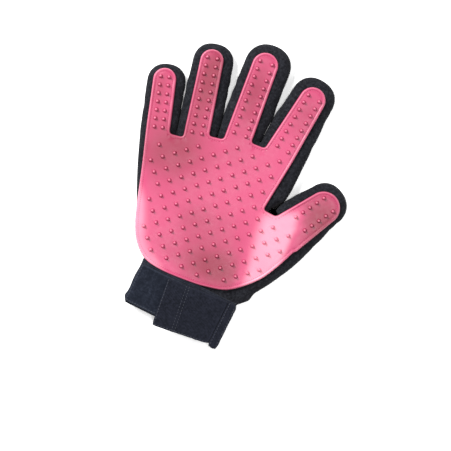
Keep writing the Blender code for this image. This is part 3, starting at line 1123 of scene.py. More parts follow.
class Socket:
    """A number or colour inside a material, for use in Python expressions."""

    def __init__(self, paint: "Paint", link: bpy.types.NodeSocket) -> None:
        """Wraps one output of a node."""
        self.paint, self.link = paint, link

    def _do(self, operation: str, *values: "Socket | float") -> "Socket":
        """A Math node on these values."""
        return self.paint.node("ShaderNodeMath", {"operation": operation}, dict(enumerate(values)))

    def __add__(self, other: "Socket | float") -> "Socket":
        """Sum."""
        return self._do("ADD", self, other)

    def __sub__(self, other: "Socket | float") -> "Socket":
        """Difference."""
        return self._do("SUBTRACT", self, other)

    def __rsub__(self, other: float) -> "Socket":
        """Difference from a number."""
        return self._do("SUBTRACT", other, self)

    def __mul__(self, other: "Socket | float") -> "Socket":
        """Product."""
        return self._do("MULTIPLY", self, other)

    __radd__, __rmul__ = __add__, __mul__

    def between(self, low: float, high: float) -> "Socket":
        """0 at low, 1 at high, smoothly; high may be the lower one."""
        ends = {"Value": self, "From Min": low, "From Max": high}
        return self.paint.node("ShaderNodeMapRange", {"interpolation_type": "SMOOTHSTEP"}, ends)

    def wave(self) -> "Socket":
        """Sine."""
        return self._do("SINE", self)

    def size(self) -> "Socket":
        """Absolute value."""
        return self._do("ABSOLUTE", self)


class Paint:
    """One material in the making: a Principled shader and the nodes that feed it."""

    def __init__(self, name: str, constants: dict) -> None:
        """Starts the material, with the values that are the same all over it.

        Args:
            name: the material's name.
            constants: the shader's socket names and their values.
        """
        self.material = bpy.data.materials.new(name)
        self.material.use_nodes = True
        self.tree = self.material.node_tree
        self.shader = self.tree.nodes["Principled BSDF"]
        for socket, value in constants.items():
            self.shader.inputs[socket].default_value = value

    def node(self, kind: str, settings: dict, inputs: dict, output: int | str = 0) -> Socket:
        """Any node: its settings first, then the values or links of its sockets.

        Args:
            kind: the node's type.
            settings: its properties.
            inputs: socket name or number to a value or a Socket.
            output: which output is wanted.

        Returns:
            That output.
        """
        made = self.tree.nodes.new(kind)
        for key, value in settings.items():
            setattr(made, key, value)
        for key, value in inputs.items():
            if isinstance(value, Socket):
                self.tree.links.new(value.link, made.inputs[key])
            else:
                made.inputs[key].default_value = value
        return Socket(self, made.outputs[output])

    def place(self, turn: float = 0.0) -> Socket:
        """The object's own coordinates, in millimetres, turned about +Z.

        Args:
            turn: by how much, in radians.

        Returns:
            The coordinates.
        """
        own = self.node("ShaderNodeTexCoord", {}, {}, "Object")
        change = {"Vector": own, "Scale": (1 / MM,) * 3, "Rotation": (0.0, 0.0, turn)}
        return self.node("ShaderNodeMapping", {}, change)

    def axis(self, place: Socket, number: int) -> Socket:
        """One coordinate of a place."""
        return self.node("ShaderNodeSeparateXYZ", {}, {0: place}, number)

    def noise(self, place: Socket, size: float, detail: float = 3.0, rough: float = 0.5) -> Socket:
        """Noise whose lumps are about size millimetres wide, around 0.5."""
        inputs = {"Vector": place, "Scale": 1 / size, "Detail": detail, "Roughness": rough}
        return self.node("ShaderNodeTexNoise", {}, inputs)

    def cells(self, place: Socket, size: float) -> Socket:
        """Distance from the middle of the nearest cell, in cells of about size millimetres."""
        return self.node("ShaderNodeTexVoronoi", {}, {"Vector": place, "Scale": 1 / size, "Randomness": 0.35})

    def value(self, name: str) -> Socket:
        """A named value kept at the vertices."""
        return self.node("ShaderNodeAttribute", {"attribute_name": name}, {}, "Fac")

    def mix(self, factor: Socket, first: tuple | Socket, second: tuple | Socket) -> Socket:
        """A colour from the first at 0 to the second at 1."""
        first, second = (c if isinstance(c, Socket) else (*c, 1.0) for c in (first, second))
        return self.node("ShaderNodeMix", {"data_type": "RGBA"}, {0: factor, 6: first, 7: second}, 2)

    def feed(self, **links: Socket) -> None:
        """Links sockets of the shader; Base_Color stands for Base Color."""
        for key, value in links.items():
            self.tree.links.new(value.link, self.shader.inputs[key.replace("_", " ")])

    def bump(self, *layers: tuple[Socket, float, float]) -> None:
        """Bumps one over another: height, strength, and depth in millimetres.

        Args:
            layers: each layer's three values, the lowest layer first.
        """
        normal = None
        for height, strength, depth in layers:
            inputs = {"Height": height, "Strength": strength, "Distance": depth * MM}
            if normal:
                inputs["Normal"] = normal
            normal = self.node("ShaderNodeBump", {}, inputs)
        self.feed(Normal=normal)


SEWN_IN = 2.7  # from the rubber's edge in to the line of stitches that holds it


@dataclass(frozen=True)
class Rubber:
    """Satin pink rubber with a painted highlight along its lip, a stitched line inside its edge and a fine
    skin.
    """

    colour: tuple = (0.440, 0.043, 0.124)
    # The darker colour is painted shade and also the stitched line's colour; the paler one is a painted
    # highlight.
    shade_and_stitch_tone: tuple = (0.215, 0.013, 0.040)
    pale: tuple = (0.74, 0.225, 0.318)

    def make(self) -> bpy.types.Material:
        """The material.

        Returns:
            The new material.
        """
        paint = Paint("pink_rubber", {"IOR": 1.47})
        place = paint.place()
        rim, nub, bloom = (paint.value(name) for name in ("rim", "nub", "bloom"))
        cloud = paint.noise(place, 34.0, 2.0)
        skin, grain = paint.noise(place, 0.55, 2.0), paint.noise(place, 2.6, 3.0)
        uneven = (cloud - 0.5) * 0.5
        # Painted shade in wide patches, then a painted highlight round the thumb's root and along the outer
        # heel, from the map kept at the vertices.
        colour = paint.mix((uneven - bloom).between(0.0, 1.0), self.colour, self.shade_and_stitch_tone)
        colour = paint.mix((uneven * 0.4 + bloom).between(0.0, 1.0), colour, self.pale)
        # Painted highlight along the lip near the pad's edge.
        lip = rim.between(1.7, 0.6) * rim.between(0.15, 0.5)
        colour = paint.mix(lip * 0.34, colour, self.pale)
        # Painted shade: darker within 0.35 mm of the pad's edge.
        colour = paint.mix(rim.between(0.35, 0.0) * 0.7, colour, (0.20, 0.012, 0.045))
        dashes = (paint.value("travel") * 3.6).wave().between(-0.2, 0.35)
        stitch = (rim - SEWN_IN).size().between(0.42, 0.12) * dashes
        colour = paint.mix(stitch * 0.38, colour, self.shade_and_stitch_tone)
        # Painted highlight: the nubs paler towards their tops.
        colour = paint.mix(nub.between(0.15, 0.8) * 0.55, colour, self.pale)
        # Painted shade round the foot of each nub.
        colour = paint.mix(nub.between(0.30, 0.03) * nub.between(0.0, 0.02) * 0.10, colour, self.shade_and_stitch_tone)
        paint.feed(Base_Color=colour, Roughness=0.30 + grain * 0.16 + skin * 0.06)
        paint.bump((skin, 0.25, 0.05), (grain, 0.20, 0.12), (stitch, 0.55, -0.28))
        return paint.material


@dataclass(frozen=True)
class Knit:
    """Black knitted fabric, faintly blue, with lint and a fine weave."""

    name: str
    colour: tuple
    light: tuple
    pitch: float
    open_cells: float = 0.0

    def make(self) -> bpy.types.Material:
        """The material: crossed sine threads, open cells darkened with painted shade, specks and clouds.

        Returns:
            The new material.
        """
        matt = {"IOR": 1.4, "Specular IOR Level": 0.12, "Sheen Weight": 0.03, "Sheen Roughness": 0.5}
        paint = Paint(self.name, matt)
        place = paint.place()
        x, y = paint.axis(place, 0), paint.axis(place, 1)
        number = 2 * math.pi / self.pitch
        threads = (x * number).wave() * (y * number * 0.5).wave() * 0.5 + 0.5
        speck, cloud = paint.noise(place, 1.9, 4.0, 0.7), paint.noise(place, 12.0, 3.0)
        lint = paint.noise(place, 0.7, 1.0).between(0.62, 0.78)
        shade = threads * 0.30 + (speck - 0.5) * 1.5 + 0.15 + cloud * 0.45
        colour = paint.mix(shade.between(0.3, 0.95), self.colour, self.light)
        colour = paint.mix(lint * 0.18, colour, (0.10, 0.11, 0.12))
        layers = [(threads, 0.5, 0.22), (speck, 0.35, 0.25)]
        if self.open_cells:
            cell = paint.cells(place, self.open_cells).between(0.36, 0.16)
            # Painted shade in the mesh's open cells.
            colour = paint.mix(cell * 0.8, colour, (0.002, 0.002, 0.003))
            layers.append((cell, 0.8, -0.5))
        paint.feed(Base_Color=colour, Roughness=0.92 - speck * 0.08)
        paint.bump(*layers)
        return paint.material


@dataclass(frozen=True)
class Webbing:
    """Woven elastic or tape: ribs along it, finer threads across it."""

    name: str
    colour: tuple
    light: tuple
    rib: float
    across: bool = False
    pile: float = 0.0

    def make(self) -> bpy.types.Material:
        """The material: sine ribs one way, half as strong threads the other way, fuzz, and a painted
        highlight along its edges.

        Returns:
            The new material.
        """
        matt = {"IOR": 1.4, "Specular IOR Level": 0.15, "Sheen Weight": 0.04, "Sheen Roughness": 0.45}
        paint = Paint(self.name, matt)
        place = paint.place(turn=CUFF_TURN)
        x, y = paint.axis(place, 0), paint.axis(place, 1)
        first, second = (x, y) if self.across else (y, x)
        ribs = (first * (2 * math.pi / self.rib)).wave() * 0.5 + 0.5
        threads = (second * (2 * math.pi / (self.rib * 0.62)) + ribs * 3.1).wave() * 0.5 + 0.5
        fuzz, cloud = paint.noise(place, 1.6 + self.pile, 4.0, 0.72), paint.noise(place, 9.0, 3.0)
        woven = 0.12 if self.pile else 1.0
        shade = ribs * 0.22 * woven + threads * 0.14 * woven + (fuzz - 0.5) * 1.3 + 0.2 + cloud * 0.35
        colour = paint.mix(shade.between(0.25, 0.9), self.colour, self.light)
        edge = paint.value("edge")
        # Painted highlight along the tape's edges.
        edge_highlight = edge.between(1.5, 0.9) * edge.between(0.05, 0.3) * 0.3
        colour = paint.mix(edge_highlight, colour, tuple(c * 1.5 for c in self.light))
        paint.feed(Base_Color=colour, Roughness=0.92 - fuzz * 0.16)
        depth, rough = 0.22 * woven, 0.7 if self.pile else 0.3
        paint.bump((ribs, 0.6, depth), (threads, 0.4, depth * 0.6), (fuzz, rough, 0.3 + self.pile))
        return paint.material


@dataclass(frozen=True)
class Thread:
    """Twisted sewing thread."""

    name: str
    colour: tuple

    def make(self) -> bpy.types.Material:
        """The material: one colour, lighter and darker with the twist.

        Returns:
            The new material.
        """
        paint = Paint(self.name, {"Specular IOR Level": 0.4, "Sheen Weight": 0.15})
        twist = paint.noise(paint.place(), 0.5, 2.0)
        colour = paint.mix(twist, self.colour, tuple(c * 1.9 for c in self.colour))
        paint.feed(Base_Color=colour, Roughness=0.55 + twist * 0.2)
        paint.bump((twist, 0.4, 0.08))
        return paint.material


# --- Glove pieces ----------------------------------------------------------------------------


def keep(item: bpy.types.Object, body: str | None, slot: str, nodes: tuple) -> bpy.types.Object:
    """Puts a piece on its body, hides the nodes that it stands for, and reports it with its slot.

    Args:
        item: the piece.
        body: the body that it rides on, or None, which leaves it on no body.
        slot: the name of its finish.
        nodes: the nodes that it stands for.

    Returns:
        The piece.
    """
    if body:
        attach(item, body)
    if nodes:
        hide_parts(*nodes)
    LOG.info("%s: %d vertices, slot %s", item.name, len(item.data.vertices), slot)
    return item


ON_EDGE = 0.02  # a vertex nearer to an edge than this lies on it


@dataclass
class Glove:
    """The sewn glove: front and back of the palm and of every finger piece."""

    front: bpy.types.Material
    back: bpy.types.Material

    def sheets(self, name: str, plane: Array, faces: Array, body: str | None, front: tuple, back: tuple
               ) -> list[bpy.types.Object]:
        """The front and the back sheet over the same vertices, meeting at the seam.

        Args:
            name: what both names start with.
            plane: x and y of each vertex.
            faces: corner numbers, one face a row.
            body: the body that they ride on, or None, which leaves them on no body.
            front: the nodes that the front sheet stands for.
            back: the nodes that the back sheet stands for.

        Returns:
            The front and the back piece.
        """
        upper, lower = (closed_sheet(plane, faces, side) for side in (self.front_heights, self.back_heights))
        return [
            keep(upper.mesh(f"{name}_front", self.front), body, "palm_cloth", front),
            keep(lower.mesh(f"{name}_back", self.back), body, "mesh_cloth", back),
        ]

    @staticmethod
    def front_heights(places: Array) -> tuple[Array, Array]:
        """The front sheet's outside, and its inside a wall's thickness lower.

        Args:
            places: x and y of each place.

        Returns:
            The higher and the lower surface's heights.
        """
        top, distance = RELIEF.fabric(places)
        top = np.where(distance < ON_EDGE, SEAM_HEIGHT, top)
        return top, top - np.minimum(CLOTH_WALL, 0.6 * (top - SEAM_HEIGHT))

    @staticmethod
    def back_heights(places: Array) -> tuple[Array, Array]:
        """The back sheet's inside, and its outside a wall's thickness lower.

        Args:
            places: x and y of each place.

        Returns:
            The higher and the lower surface's heights.
        """
        low, distance = RELIEF.back(places)
        low = np.where(distance < ON_EDGE, SEAM_HEIGHT, low)
        return low + np.minimum(CLOTH_WALL, 0.6 * (SEAM_HEIGHT - low)), low

    def build(self) -> None:
        """The palm, then both pieces of each finger."""
        plane, faces = region(Layer.CLOTH)
        webs = tuple(f"{a.name}_{b.name}_gusset" for a, b in zip(FINGERS, FINGERS[1:]))
        sides = ("hand_front_panel", "outer_side_wall", "thumb_side_wall", *webs)
        self.sheets("palm_fabric", plane, faces, "hand", sides, ("hand_back_panel",))
        for finger, end, plane, faces in finger_pieces(Layer.CLOTH):
            nodes = [(f"{finger.name}_{end}_{side}",) for side in ("front", "back")]
            for item in self.sheets(f"{finger.name}_{end}_fabric", plane, faces, None, *nodes):
                bend(item, finger, end)


KNUCKLE_HEIGHT = 0.0146  # of the knuckle line that bend() works out, in metres


def bend(item: bpy.types.Object, finger: Finger, end: str) -> None:
    """Works out the two bodies and the line across a finger's knuckle, over the finger's bending zone, and
    bakes the piece's transform into its mesh.

    Args:
        item: the piece.
        finger: the finger that it is on.
        end: "base" for the lower knuckle or "tip" for the upper one.
    """
    if end == "base":
        bodies, at = ("hand", f"{finger.name}_base"), finger.rise
    else:
        bodies, at = (f"{finger.name}_base", f"{finger.name}_tip"), finger.tip_rise
    start, stop = (tuple(finger.at(0, at + side * finger.zone) * MM) + (KNUCKLE_HEIGHT,) for side in (-1, 1))
    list(bodies)
    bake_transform(item)
    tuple(start)
    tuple(stop)


@dataclass
class RubberFace:
    """The rubber pads with their nubs."""

    finish: bpy.types.Material
    nub: NubShape = NubShape()
    lip: tuple = (0.30, 1.15, 0.55)  # the lip's height, how far in it is, and its spread
    sewn: tuple = (0.22, SEWN_IN, 0.60)  # the sewn line's depth, how far in it is, and its spread
    shade_patches: tuple = (  # where painted shade darkens the rubber: x, y, spread of each, and how much
        (-52, 16, 36, 30, 0.75), (2, -60, 36, 17, 0.9), (74, 0, 17, 26, 0.9), (-43, 78, 12, 34, 0.95),
        (-6, 80, 12, 34, 0.75), (-78, 62, 10, 24, 0.5), (36, 74, 14, 26, 0.45), (-12, -30, 26, 16, 0.45),
    )

    def pad(self, name: str, plane: Array, faces: Array, places: Array) -> bpy.types.Object:
        """A pad with its nubs, and the values that its finish reads.

        Args:
            name: the piece's name.
            plane: x and y of each vertex.
            faces: corner numbers, one face a row.
            places: where its nubs stand.

        Returns:
            The new piece.
        """
        inward, travel = RUBBER.distance(plane)
        values = {"rim": inward, "travel": travel, "nub": np.zeros(len(plane)), "bloom": self.bloom(plane)}
        surface = closed_sheet(plane, faces, self.heights, values)
        nubs = self.nub.at(places, RELIEF.rubber(places))
        # The nubs take the painted highlight and painted shade of the places they stand on.
        nubs.values["bloom"] = np.repeat(self.bloom(places), len(nubs.points) // len(places))
        return (surface + nubs).mesh(name, self.finish)

    def heights(self, places: Array) -> tuple[Array, Array]:
        """The pad's top, and its underside lying on the fabric or hanging just over it.

        The top is base + thickness x dome(distance from the edge) + a Gaussian ridge, the lip,
        near the edge - a Gaussian valley, the sewn line, further in.

        Args:
            places: x and y of each place.

        Returns:
            The top's and the underside's heights.
        """
        inward, _ = RUBBER.distance(places)
        inward = np.where(inward < ON_EDGE, 0.0, inward)
        base = RELIEF.rubber(places) - PAD_THICKNESS
        ridge, valley = (
            height * np.exp(-(((inward - at) / spread) ** 2)) for height, at, spread in (self.lip, self.sewn)
        )
        shape = ridge - valley
        top = base + PAD_THICKNESS * dome(inward, 1.5, 2.6) + shape * np.minimum(inward, 1)
        fabric, _ = RELIEF.fabric(places)
        within = np.minimum(inward, 1)
        low = np.clip(fabric + 0.12, base - 1.4, base) * within + base * (1 - within)
        return top, np.where(inward == 0, top, low)

    def bloom(self, places: Array) -> Array:
        """How much paler, above 0, or deeper, below, the rubber is.

        A painted highlight round the thumb's root and along the outer heel; painted shade in wide Gaussian
        patches.

        Args:
            places: x and y of each place.

        Returns:
            One value a place.
        """
        x, y = places[:, 0], places[:, 1]
        # Painted highlight round the thumb's root.
        root = soft_step(x, 20, 38) * (1 - soft_step(x - 0.1 * y, 53, 62))
        root = root * (1 - soft_step(y - 0.25 * x, -20, -5))
        # Painted highlight along the outer heel's edge.
        heel = 1 - soft_step(RUBBER.distance(places)[0], 2, 16)
        outer = heel * (1 - soft_step(x + y * 0.6, -86, -62)) * (1 - soft_step(y, -30, 5))
        # Painted shade in wide Gaussian patches.
        shade_and_stitch_tone = sum(
            amount * np.exp(-(((x - at_x) / wide) ** 2 + ((y - at_y) / tall) ** 2))
            for at_x, at_y, wide, tall, amount in self.shade_patches
        )
        return np.clip(root * 0.95 + outer * 0.85, 0, 1) - shade_and_stitch_tone * (1 - root)

    def build(self) -> None:
        """The palm's pad, then both pads of each finger."""
        plane, faces = region(Layer.PAD)
        keep(self.pad("palm_rubber", plane, faces, palm_nubs()), "hand", "pink_rubber", ("palm_pad",))
        for finger, end, plane, faces in finger_pieces(Layer.PAD):
            places, along = finger.nubs()
            own = (along > finger.cut_high) == (end == "tip")
            item = self.pad(f"{finger.name}_{end}_rubber", plane, faces, places[own])
            bend(keep(item, None, "pink_rubber", (f"{finger.name}_{end}_pad",)), finger, end)


# --- Wrist band and closure ------------------------------------------------------------------


CORNER_REACH, CORNER_PULL = 3.3, 0.63  # how far from a tape's corner its edges are pulled in, and how much


@dataclass(frozen=True)
class Tape:
    """A flat piece of tape between four corners: foot left, foot right, top right, top left."""

    corners: Array
    low: float
    high: float
    edge: float = 0.8
    sway: float = 0.0
    seed: int = 3
    fray: float = 0.25

    def surface(self, step: float = 1.6) -> Surface:
        """A closed tape: its middle height -/+ half its thickness x dome(distance from its edge).

        Places run bilinearly between the corners, which are rounded by pulling vertices in.

        Args:
            step: about how far apart its vertices are.

        Returns:
            The tape, with the distance from its edge as the value that its finish reads.
        """
        foot_left, foot_right, top_right, top_left = (np.asarray(corner, float) for corner in self.corners)
        wide, tall = np.linalg.norm(foot_right - foot_left), np.linalg.norm(top_left - foot_left)
        u, v = self.spread(wide, step), self.spread(tall, step)
        x, y = (part.ravel() for part in np.meshgrid(u, v, indexing="ij"))
        for_x, for_y = np.minimum(x, wide - x), np.minimum(y, tall - y)
        pull = CORNER_PULL * np.clip(1 - np.hypot(for_x, for_y) / CORNER_REACH, 0, 1)
        edge = np.minimum(for_x, for_y)
        frayed = self.fray * Ripple(self.seed, 6.0).at(np.column_stack([x, y])) * 0.5 * (edge < ON_EDGE)
        uneven = frayed + pull
        x, y = (x + uneven * np.sign(wide / 2 - x)) / wide, (y + uneven * np.sign(tall / 2 - y)) / tall
        x, y = x[:, None], y[:, None]
        plane = (1 - y) * ((1 - x) * foot_left + x * foot_right) + y * ((1 - x) * top_left + x * top_right)
        middle = (self.low + self.high) / 2 + self.sway * Ripple(self.seed + 1, 30.0).at(plane)
        half = (self.high - self.low) / 2 * dome(edge, self.edge)
        faces = grid_faces(len(u), len(v))
        return closed_sheet(plane, faces, lambda _: (middle + half, middle - half), {"edge": edge})

    def spread(self, length: float, step: float) -> Array:
        """Distances along one side, closer together near both its ends.

        Args:
            length: the side's length.
            step: about how far apart they are in the middle.

        Returns:
            The distances from one end, in rising order.
        """
        near = self.edge * np.array([0, 0.12, 0.35, 0.65, 1.0, 1.8])
        inner = np.linspace(near[-1], length - near[-1], max(2, int(length / step)))[1:-1]
        return np.concatenate([near, inner, length - near[::-1]])


def strip(left: float, right: float, foot: float, top: float) -> Array:
    """Corners of a rectangle in the wrist band's frame."""
    return cuff([left, right, right, left], [foot, foot, top, top])


STITCH_PITCH, STITCH_LENGTH, STITCH_RADIUS = 2.4, 1.7, 0.22


def tube_ends(rings: int, sides: int) -> tuple[Array, Array]:
    """The first and the last cap of a tube whose vertices are counted ring by ring."""
    return np.arange(sides)[None, ::-1], (rings - 1) * sides + np.arange(sides)[None]


def stitches(points: Array, height: float) -> Surface:
    """A row of stitches along a polyline: short six-sided lozenges, one every pitch.

    Args:
        points: the polyline, one point a row.
        height: how high the thread's middle lies.

    Returns:
        All the stitches as one surface.
    """
    places = resample(np.asarray(points, float), STITCH_PITCH)
    run = np.gradient(places, axis=0)
    run = run / np.linalg.norm(run, axis=1)[:, None]
    side = np.column_stack([run[:, 1], -run[:, 0]])
    turn = 2 * np.pi * np.arange(6) / 6
    rows = np.array([-0.5, -0.3, 0.3, 0.5]) * STITCH_LENGTH
    thick = np.array([0.35, 1.0, 1.0, 0.35])[:, None] * STITCH_RADIUS
    sink = np.array([-0.25, 0.0, 0.0, -0.25])[:, None]
    run, side = run[:, None, None], side[:, None, None]
    flat = places[:, None, None] + rows[None, :, None, None] * run
    flat = flat + (thick * np.cos(turn))[None, ..., None] * side
    rise = np.broadcast_to(height + thick * np.sin(turn) + sink, flat.shape[:3])
    points = np.concatenate([flat, rise[..., None]], axis=3).reshape(len(places), -1, 3)
    return repeated(points, grid_faces(4, 6, close_columns=True), *tube_ends(4, 6)).outward()


@dataclass(frozen=True)
class Cuff:
    """The elastic wrist band and its hook-and-loop tab."""

    length: float = 83.0
    width: float = 37.0
    wall: float = 2.0
    height: float = 12.4
    loop_patch: Tape = Tape(strip(-39.6, 6.0, -35.9, -4.4), 12.55, 13.6, 0.7, fray=0.5)
    fold: Tape = Tape(strip(34.1, 41.7, -39.6, -1.2), 12.7, 16.4, 1.4, sway=0.1, seed=8)
    tab: Tape = Tape(
        ((-27.2, -116.9), *cuff([34.0, 34.0], [-37.9, -1.4]), (-26.0, -78.2)),
        15.0, 16.6, 0.9, sway=0.18, seed=14,
    )
    hook_patch: Tape = Tape(
        ((-25.4, -115.2), (-7.2, -115.2), (-7.2, -81.0), (-25.0, -81.0)), 13.95, 14.95, 0.5, seed=19
    )
    hook_area: tuple = ((-24.4, -8.0), (-114.3, -81.8))
    hook_pitch: tuple = (1.15, 1.7)
    hook_radius: float = 0.11
    tab_seams: tuple = (
        ((-25.2, -79.6), (-25.9, -115.6)), ((-8.2, -80.4), (-8.8, -115.8)),
        ((-10.6, -80.4), (-11.2, -115.8)), ((-24.6, -115.8), (17.0, -116.6)),
    )
    seam_rise: float = 0.02  # of the thread's middle over the band's tapes

    def band(self) -> Surface:
        """The flattened ring of elastic.

        A section that runs down the outside, round the foot's hem, up the inside and over the
        upper edge is carried round a flattened loop: half-length x sign(cos) |cos|^0.16 across,
        half-height x |sin|^0.42 up. The foot's outer corner is cut back and both hems are thicker.

        Returns:
            The band.
        """
        turn = 2 * np.pi * np.arange(260) / 260
        flat = np.abs(np.cos(turn)) ** 0.16 * np.sign(np.cos(turn))
        rise = np.abs(np.sin(turn)) ** 0.42 * np.sign(np.sin(turn))
        near = np.array([0, 0.3, 0.9, 1.8, 3.2])
        down = np.concatenate([near, np.linspace(5, self.width - 5, 14), self.width - near[::-1]])
        half = self.wall / 2
        hem = 0.30 * (1 - soft_step(down, 2.0, 3.0)) + 0.35 * soft_step(down, self.width - 4, self.width - 3)
        thick = (half + hem * 0.5) * dome(np.minimum(down, self.width - down) + 0.05, 1.1)
        section_v = np.concatenate([down, down[-2:0:-1]])
        section_r = np.concatenate([thick, -thick[-2:0:-1]])
        reach = self.length / 2 - half - 0.8
        top = self.height / 2 - half - 0.35
        u = flat[:, None] * (reach + section_r[None])
        w = rise[:, None] * (top + section_r[None])
        v = np.broadcast_to(section_v[None], u.shape)
        foot = 1 - 0.12 * (1 - soft_step(u, -41.5, -37.5)) * soft_step(v, 20, self.width)
        plane = cuff(u + 0.3 * np.sin(v * 0.3), -0.3 - v * foot)
        soft = 0.12 * Ripple(31, 16.0).at(plane.reshape(-1, 2)).reshape(u.shape)
        z = self.height / 2 + w + soft * np.abs(rise)[:, None]
        points = np.concatenate([plane, z[..., None]], axis=2).reshape(-1, 3)
        return Surface(points, grid_faces(len(turn), len(section_v), True, True).tolist()).outward()

    def hooks(self) -> Surface:
        """Rows of tiny bent hooks under the hook tape: a four-sided tube carried along a hook's curve.

        Returns:
            All the hooks as one surface.
        """
        across, along = (np.arange(*ends, pitch) for ends, pitch in zip(self.hook_area, self.hook_pitch))
        x, y = (part.ravel() for part in np.meshgrid(across, along, indexing="ij"))
        curve = np.array([[0, 0], [0.0, -0.3], [0.18, -0.52], [0.42, -0.42]])
        base = x + 0.3 * (np.round(y / self.hook_pitch[1]) % 2)
        turn = 2 * np.pi * np.arange(4) / 4
        ring = self.hook_radius * np.column_stack([np.cos(turn), np.sin(turn)])
        u = base[:, None, None] + curve[None, :, None, 0] + ring[None, None, :, 0]
        v = y[:, None, None] + ring[None, None, :, 1] + 0 * u
        z = self.hook_patch.low + curve[None, :, None, 1] + 0 * u
        points = np.stack([u, v, z], axis=3).reshape(len(x), -1, 3)
        caps = (cap[:, ::-1] for cap in tube_ends(4, 4))
        return repeated(points, grid_faces(4, 4, close_columns=True)[:, ::-1], *caps).outward()

    def build(self, elastic: bpy.types.Material, pile: bpy.types.Material, hook: bpy.types.Material,
              webbing: bpy.types.Material, thread: bpy.types.Material) -> None:
        """The band and everything sewn on it, then the tab.

        Args:
            elastic: the band's finish.
            pile: the loop patch's.
            hook: the hook tape's.
            webbing: the tab's and its fold's.
            thread: the stitches'.
        """
        keep(self.band().mesh("elastic_wrist_band", elastic), "hand", "elastic_band", ("wrist_band",))
        loops = self.loop_patch.surface(1.2).mesh("loop_pile_patch", pile)
        keep(loops, "hand", "loop_pile", ("loop_patch",))
        keep(self.fold.surface(1.5).mesh("folded_tab_root", webbing), "hand", "tab_webbing", ("tab_fold",))
        tab = self.tab.surface(1.5).mesh("closure_webbing_tab", webbing)
        keep(tab, "tab", "tab_webbing", ("closure_tab",))
        hooks = self.hook_patch.surface(2.0) + self.hooks()
        keep(hooks.mesh("hook_tape_patch", hook), "tab", "hook_tape", ("hook_patch",))
        self.sew(thread)

    def sew(self, thread: bpy.types.Material) -> None:
        """Stitch lines: along the tab's borders and hook tape, then on its fold and the loop patch.

        Args:
            thread: the stitches' finish.
        """
        on_tab = self.rows([(ends, self.tab.high) for ends in self.tab_seams])
        keep(on_tab.mesh("tab_stitching", thread), "tab", "tab_webbing", ())
        on_fold, on_patch = self.fold.high + self.seam_rise, self.loop_patch.high + self.seam_rise
        fold = [(cuff([across] * 2, [-2.5, -38.6]), on_fold) for across in (35.6, 40.4)]
        patch = [
            (cuff([-38.3, -38.3], [-6, -34.9]), on_patch),
            (cuff([-37.8, -14], [-34.9, -34.9]), on_patch),
        ]
        keep(self.rows(fold + patch).mesh("band_stitching", thread), "hand", "elastic_band", ())

    @staticmethod
    def rows(lines: list) -> Surface:
        """Stitches along straight lines, each given by its ends and its height."""
        first, *others = (stitches(ends, height) for ends, height in lines)
        return sum(others, first)


# --- Stage -----------------------------------------------------------------------------------


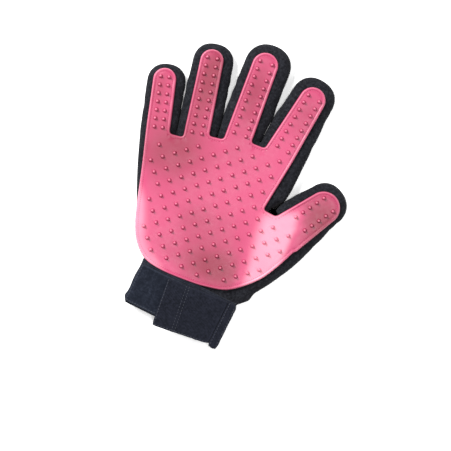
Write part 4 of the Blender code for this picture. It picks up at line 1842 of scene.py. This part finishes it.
@dataclass(frozen=True)
class Studio:
    """A near-white floor, soft lights and the camera."""

    look_at: tuple = (0.0036, -0.0256, 0.012)
    away: float = 1.4
    view_width: float = 0.3518
    turn: float = 18.0  # of the camera, in degrees
    floor_glow: float = 0.36
    sky: float = 0.32
    lights: tuple = (
        ("key_left", (-0.86, 0.46, 0.95), 0.55, 30.0),
        ("fill_right", (0.9, -0.1, 0.9), 0.5, 5.0),
        ("overhead", (0.16, -0.05, 1.5), 0.35, 7.0),
    )

    def light(self, name: str, place: tuple, size: float, power: float) -> None:
        """An area light that faces the glove.

        Args:
            name: its name.
            place: where it stands, in metres.
            size: its width, in metres.
            power: its power, in watts.
        """
        data = bpy.data.lights.new(name, "AREA")
        data.shape, data.size, data.energy = "DISK", size, power
        item = bpy.data.objects.new(name, data)
        offset = np.array(place) - np.array(self.look_at)
        item.location = place
        tilt, turn = math.atan2(math.hypot(offset[0], offset[1]), offset[2]), math.atan2(offset[1], offset[0])
        item.rotation_euler = (tilt, 0.0, turn + math.pi / 2)
        bpy.context.scene.collection.objects.link(item)

    def build(self) -> None:
        """Floor, world, lights and camera."""
        scene = bpy.context.scene
        scene.view_settings.view_transform = "Standard"
        edge = np.array([[-1, -1, 0], [1, -1, 0], [1, 1, 0], [-1, 1, 0]]) * 2600.0
        glow = {"Emission Color": (1.0, 1.0, 1.0, 1.0), "Emission Strength": self.floor_glow}
        paint = Paint("pale_floor", {"Roughness": 0.9, "Specular IOR Level": 0.1, **glow})
        speck = paint.noise(paint.place(), 60.0)
        paint.feed(Base_Color=paint.mix(speck, (0.92, 0.92, 0.92), (0.95, 0.95, 0.95)))
        Surface(edge + [0, 0, -0.05], [[0, 1, 2, 3]]).mesh("pale_floor", paint.material)
        world = bpy.data.worlds.new("soft_studio")
        world.use_nodes = True
        sky = world.node_tree.nodes["Background"].inputs
        sky["Color"].default_value, sky["Strength"].default_value = (1.0, 1.0, 1.0, 1.0), self.sky
        scene.world = world
        for light in self.lights:
            self.light(*light)
        data = bpy.data.cameras.new("overhead_camera")
        data.sensor_width = 36.0
        data.lens = 36.0 * self.away / self.view_width
        data.clip_start, data.clip_end = 0.01, 20.0
        camera = bpy.data.objects.new("overhead_camera", data)
        camera.location = (self.look_at[0], self.look_at[1], self.look_at[2] + self.away)
        camera.rotation_euler = (0.0, 0.0, math.radians(self.turn))
        scene.collection.objects.link(camera)
        scene.camera = camera


def main() -> None:
    """Builds the glove, its rubber, its cuff and the studio, in that order."""
    logging.basicConfig(level=logging.INFO, format="%(name)s: %(message)s")
    fabric = Knit("palm_fabric", (0.005, 0.005, 0.007), (0.022, 0.023, 0.029), 1.1)
    back = Knit("air_mesh", (0.008, 0.009, 0.012), (0.030, 0.033, 0.038), 1.4, open_cells=2.4)
    Glove(fabric.make(), back.make()).build()
    RubberFace(Rubber().make()).build()
    elastic = Webbing("woven_elastic", (0.005, 0.006, 0.010), (0.020, 0.023, 0.034), 1.3)
    pile = Webbing("loop_pile", (0.006, 0.008, 0.014), (0.022, 0.027, 0.042), 1.9, pile=0.5)
    hook = Webbing("hook_tape", (0.006, 0.006, 0.008), (0.020, 0.020, 0.025), 1.7, across=True)
    webbing = Webbing("tab_webbing", (0.003, 0.004, 0.007), (0.013, 0.0145, 0.024), 1.1, across=True)
    thread = Thread("navy_thread", (0.014, 0.016, 0.024))
    Cuff().build(elastic.make(), pile.make(), hook.make(), webbing.make(), thread.make())
    Studio().build()


if __name__ == "__main__":
    main()
